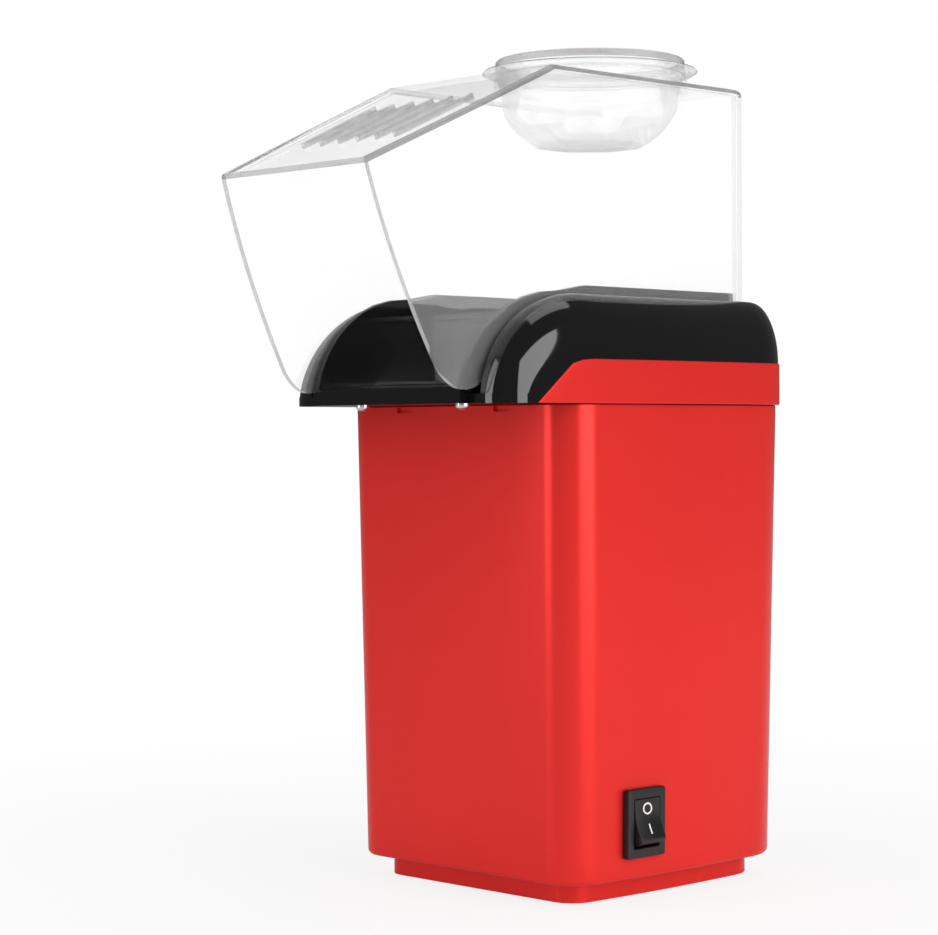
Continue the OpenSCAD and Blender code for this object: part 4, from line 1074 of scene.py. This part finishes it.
class POPCORN_OT_stage(bpy.types.Operator):
    """Make the floor, the lamps, the world and the camera"""

    bl_idname = "popcorn.stage"
    bl_label = "Stage"

    WHITE = (1, 1, 1, 1)
    FLOOR_HALF = 6.0
    SHADE, SHADE_FROM, SHADE_TO = 0.84, 0.09, 0.42  # the floor's white near the object
    SEEN, ROOM, MIRRORED = 1.0, 0.55, 0.10  # the world as seen, as a lamp and in gloss
    # Each soft box: its name, place, aim, size and share of the key lamp's power.
    LAMPS = (
        ("Right soft box", (1.211, 0.037, 0.60), (0.052, -0.052, 0.42), (1.03, 1.20), 1.25),
        ("Front soft box", (-0.509, -1.139, 0.60), (0.045, -0.075, 0.42), (0.49, 1.20), 0.52),
        ("Top soft box", (0.0, 0.3, 1.4), (0, 0, 0.1), (0.7, 0.7), 0.2))
    CAMERA_PLACE = (0.581978, -0.608246, 0.143817)
    CAMERA_RIGHT = (0.69447, 0.71950, -0.00464)
    CAMERA_UP = (-0.00543, 0.01170, 0.99992)
    CAMERA_BACK = (0.71950, -0.69439, 0.01203)

    def execute(self, context):
        scene = context.scene
        scene.view_settings.view_transform = "Standard"
        self.make_floor(scene)
        self.make_world(scene)
        for lamp in self.LAMPS:
            self.make_lamp(scene, *lamp)
        self.make_camera(scene)
        return {"FINISHED"}

    def make_floor(self, scene):
        """Pale floor that glows white where it is seen, less so near the object."""
        bm = bmesh.new()
        bmesh.ops.create_grid(bm, x_segments=1, y_segments=1, size=self.FLOOR_HALF)
        mesh = bpy.data.meshes.new("floor")
        bm.to_mesh(mesh)
        bm.free()
        floor = bpy.data.objects.new("floor", mesh)
        scene.collection.objects.link(floor)
        shader = Shader("Pale floor", Roughness=0.6)
        grain = shader.noise(3.0, 2.0)
        shader.set(Base_Color=shader.mix(grain, (0.80, 0.80, 0.80), (0.82, 0.82, 0.82)))
        where = shader.add("ShaderNodeTexCoord", output="Object")
        away = shader.add("ShaderNodeVectorMath", {"operation": "LENGTH"}, {0: where}, "Value")
        glow = shader.add("ShaderNodeEmission", {}, {"Color": self.WHITE, "Strength": 1.0})
        surface = Value(shader, shader.principled.outputs[0])
        shade = shader.range(away, self.SHADE, 1.0, self.SHADE_FROM, self.SHADE_TO)
        mixed = shader.blend(shader.seen() * shade, surface, glow)
        out = shader.tree.nodes["Material Output"]
        shader.tree.links.new(mixed.socket, out.inputs["Surface"])
        mesh.materials.append(shader.material)

    def make_world(self, scene):
        """White where it is seen, dimmer for the light that it gives and for reflections."""
        world = bpy.data.worlds.new("Studio")
        world.use_nodes = True
        scene.world = world
        nodes = Nodes(world.node_tree)
        nodes.tree.nodes.clear()
        white, room, dim = (nodes.add("ShaderNodeBackground", {}, {
            "Color": self.WHITE, "Strength": strength})
            for strength in (self.SEEN, self.ROOM, self.MIRRORED))
        glossy = nodes.add("ShaderNodeLightPath", output="Is Glossy Ray")
        mixed = nodes.blend(nodes.seen(), nodes.blend(glossy, room, dim), white)
        out = nodes.tree.nodes.new("ShaderNodeOutputWorld")
        nodes.tree.links.new(mixed.socket, out.inputs["Surface"])

    @staticmethod
    def make_lamp(scene, name, place, aim, size, share):
        """Soft box that shines from a place at a point."""
        data = bpy.data.lights.new(name, "AREA")
        data.shape = "RECTANGLE"
        data.size, data.size_y = size
        data.energy = scene.popcorn_stage.key_power * share
        lamp = bpy.data.objects.new(name, data)
        scene.collection.objects.link(lamp)
        lamp.location = place
        lamp.visible_camera = False
        direction = Vector(aim) - Vector(place)
        lamp.rotation_euler = direction.to_track_quat("-Z", "Y").to_euler()

    def make_camera(self, scene):
        data = bpy.data.cameras.new("Camera")
        data.lens = scene.popcorn_stage.lens
        data.sensor_width = 36
        data.sensor_fit = "HORIZONTAL"
        data.clip_start, data.clip_end = 0.05, 50
        camera = bpy.data.objects.new("Camera", data)
        scene.collection.objects.link(camera)
        scene.camera = camera
        turn = Matrix((self.CAMERA_RIGHT, self.CAMERA_UP, self.CAMERA_BACK)).transposed()
        camera.matrix_world = Matrix.Translation(self.CAMERA_PLACE) @ turn.to_4x4()


GROUPS = {"popcorn_finish": FinishSettings, "popcorn_shell": ShellSettings,
          "popcorn_stage": StageSettings}
OPERATORS = (POPCORN_OT_finishes, POPCORN_OT_body, POPCORN_OT_housing, POPCORN_OT_cover,
             POPCORN_OT_cup, POPCORN_OT_switch, POPCORN_OT_hardware, POPCORN_OT_heater,
             POPCORN_OT_stage)


class POPCORN_PT_panel(bpy.types.Panel):
    """Lists the settings and the steps that build the popcorn maker"""

    bl_idname = "POPCORN_PT_panel"
    bl_label = "Popcorn Maker"
    bl_space_type = "VIEW_3D"
    bl_region_type = "UI"
    bl_category = "Popcorn"

    def draw(self, context):
        for name in GROUPS:
            group = getattr(context.scene, name)
            for key in group.bl_rna.properties.keys():
                if key not in ("rna_type", "name"):
                    self.layout.prop(group, key)
        for operator in OPERATORS:
            self.layout.operator(operator.bl_idname)


def register():
    for cls in (*GROUPS.values(), *OPERATORS, POPCORN_PT_panel):
        bpy.utils.register_class(cls)
    for name, cls in GROUPS.items():
        setattr(bpy.types.Scene, name, bpy.props.PointerProperty(type=cls))


def unregister():
    for name in GROUPS:
        delattr(bpy.types.Scene, name)
    for cls in reversed((*GROUPS.values(), *OPERATORS, POPCORN_PT_panel)):
        bpy.utils.unregister_class(cls)


def main():
    register()
    for operator in OPERATORS:
        group, name = operator.bl_idname.split(".")
        getattr(getattr(bpy.ops, group), name)()


if __name__ == "__main__":
    main()
